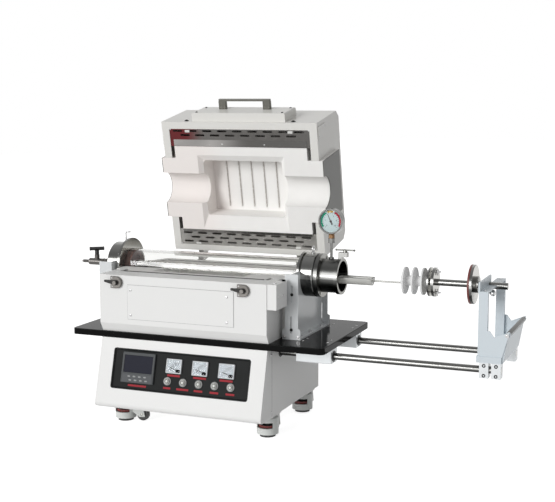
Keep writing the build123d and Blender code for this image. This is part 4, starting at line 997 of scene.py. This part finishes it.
# Stands: bent steel plates in glossy pale grey enamel that carry the flanges.
# Bolts hold their feet to the worktop, and others sit in the height slots.
stand_paint = coated("stand_enamel", (0.68, 0.70, 0.71), 0.25, mottle=0.015)
dress(stand_paint, "left_stand", "right_stand")
right_plate = face((0, -131, 0), *FRONT)
screws(
    "right_stand_slot_bolts", [(315.5, 431), (314, 326)], 3.2, right_plate, cap_black, "furnace",
    recess="hex", washer=4.6,
)
screws(
    "right_stand_foot_bolts", [(292, 305), (336, 305)], 3.4, right_plate, bright_steel, "furnace",
    washer=5.2,
)
feet = face((0, 0, 300.5), *TOP)
places = (331, 80), (331, -14), (331, -95), (297, 80), (297, -80)
screws(
    "right_stand_base_bolts", places, 4.4, feet, bright_steel, "furnace", recess="bolt", washer=6,
)
right_back = face((0, 131, 0), *BACK)
places = (-292, 305), (-336, 305), (-315.5, 431)
screws("right_stand_back_bolts", places, 3.4, right_back, bright_steel, "furnace", washer=5.2)
left_plate = face((0, -108, 0), *FRONT)
screws(
    "left_stand_front_bolts", [(-338, 308), (-312, 308)], 3.6, left_plate, bright_steel, "furnace",
    washer=5.2,
)
screws(
    "left_stand_base_bolts", [(-335, 70), (-335, -70)], 4.2, feet, bright_steel, "furnace",
    recess="bolt", washer=6,
)

# Slide rails and clamps: two ground steel bars run through the bearing blocks.
# Split aluminium clamps grip them, each closed by two socket screws.
# The rails' dark edges and bright centre are painted reflection.
ground = polished("ground_steel", tint=0.9, rough=0.2)
dress(ground, "slide_rails")
dress(block_aluminium, "rail_clamps")
for side, hand in ((1, "front"), (-1, "back")):
    wall = face((0, side * -135, 0), (side, 0, 0), (0, 0, 1))
    places = [(side * x, rail_z + rise) for x in (888, 922) for rise in (-14, 14)]
    screws(
        f"clamp_screws_{hand}", places, 5.2, wall, cap_black, "carriage", recess="hex", tall=0.35,
    )

# Carriage frame: two bent steel uprights on a base plate with a cheek at each
# side, in pale blue-grey enamel. A ball knob locks the push rod in its angle bar.
carriage_paint = coated("carriage_enamel", (0.62, 0.68, 0.72), 0.35, gloss=0.45, mottle=0.015)
dress(carriage_paint, "carriage_frame")
knob = bmesh.new()
turned(
    knob, (-4, 452),
    ((3, -0.5), (3.4, 3), (6, 4), (9, 8), (9.6, 12), (8.4, 16), (5, 18.6), (1.5, 19.3)), 40,
)
built("rod_lock_knob", knob, face((872, 0, 0), *RIGHT), bright_steel, "carriage")
screws(
    "crossbar_screws", [(882, -112), (882, 112)], 3.8, face((0, 0, 476), *TOP), bright_steel,
    "carriage", recess="hex", tall=0.35,
)
for side, hand in ((1, "front"), (-1, "back")):
    cheek = face((0, side * -132, 0), (side, 0, 0), (0, 0, 1))
    screws(
        f"grip_end_screw_{hand}", [(side * 950, 357)], 4.0, cheek, bright_steel, "carriage",
        recess="hex", tall=0.4, washer=5.6,
    )

# Carriage handle: a leaning sheet of the same enamel that ends in a round grip
# bar. A sleeve of brushed aluminium covers the bar.
dress(carriage_paint, "carriage_handle")
grip_grey = coated(
    "grip_sleeve", (0.13, 0.13, 0.125), 0.4, metal=0.5, gloss=0.3, mottle=0.1, mottle_scale=60,
)
sleeve = bmesh.new()
turned(
    sleeve, (0, 0), ((6, -120), (7.2, -120), (7.4, -119), (7.4, 119), (7.2, 120), (6, 120)), 40,
    hollow=True,
)
built("grip_sleeve", sleeve, face((951.6, 0, 359), *FRONT), grip_grey, "carriage")

# Push rod: a polished tube with a small two-part flange. Wing bolts clamp the
# baffle stem in it, and two set screws show on the front of the tube.
dress(steel, "push_rod")
bolts = bmesh.new()
for z in (tube_z - 31, tube_z + 31):
    turned(bolts, (0, z), ((2.4, 690), (2.6, 691), (2.6, 729), (2.0, 730)), 24)
    turned(bolts, (0, z), ((3, 692.5), (5.4, 692.5, "hex"), (5.4, 696.8, "hex"), (3, 696.8)), 36)
    turned(bolts, (0, z), ((4.6, 717.2), (5.2, 718), (5.2, 721), (3.4, 724), (2.6, 724.4)), 32)
    slab(bolts, 0, z, 4, 22, 718.5, 722, corner=1.6, chamfer=0.6)
built("flange_wing_bolts", bolts, face((0, 0, 0), *RIGHT), bright_steel, "carriage")
screws(
    "push_rod_set_screws", [(736, 470), (764, 470)], 2.2, face((0, -9.4, 0), *FRONT), cap_black,
    "carriage", recess="hex", tall=0.4,
)

# Door: a polished steel disc on the rod with a dark red silicone seal behind it,
# which closes the nozzle. A grub screw holds the disc's boss to the rod.
dress(steel, "door_flange")
silicone = coated("red_silicone", (0.15, 0.03, 0.025), 0.4)
dress(silicone, "door_seal")
screws(
    "door_boss_grub_screw", [(837, tube_z)], 2.6, face((0, -23.6, 0), *FRONT), cap_black,
    "carriage", recess="hex", tall=0.4,
)

# Heat baffles: three turned white ceramic discs on a ceramic stem, with a thin
# steel collar where the stem meets the flange.
ceramic = coated("white_ceramic", (0.84, 0.84, 0.84), 0.8, gloss=0.1, grain=0.15, grain_scale=500)
dress(ceramic, "heat_baffles")
collar = bmesh.new()
turned(
    collar, (0, tube_z), ((15.2, 690), (18.5, 690.5), (18.5, 696), (17.5, 696.9), (15.2, 696.9)),
    48, hollow=True,
)
built("baffle_stem_collar", collar, face((0, 0, 0), *RIGHT), bright_steel, "carriage")

# Sample boat: a half-round quartz trough on a long milky glass rod. A dark wire
# round the trough's rim is painted shade, standing for the dark line its glass
# edges show.
boat_glass = coated("quartz_boat", (0.72, 0.72, 0.69), 0.15, gloss=0.4, clearness=0.3, ior=1.3)
dress(boat_glass, "sample_boat")
boat_edge_shade_grey = coated("boat_edge_painted_shade", (0.10, 0.10, 0.095), 0.3)
rim = [(x, y, 473.6) for x, y in ((419.6, -21), (522.4, -21), (522.4, 21), (419.6, 21))]
wire("boat_rim_edge", [rim], 1.1, bench, boat_edge_shade_grey, "carriage", loop=True)
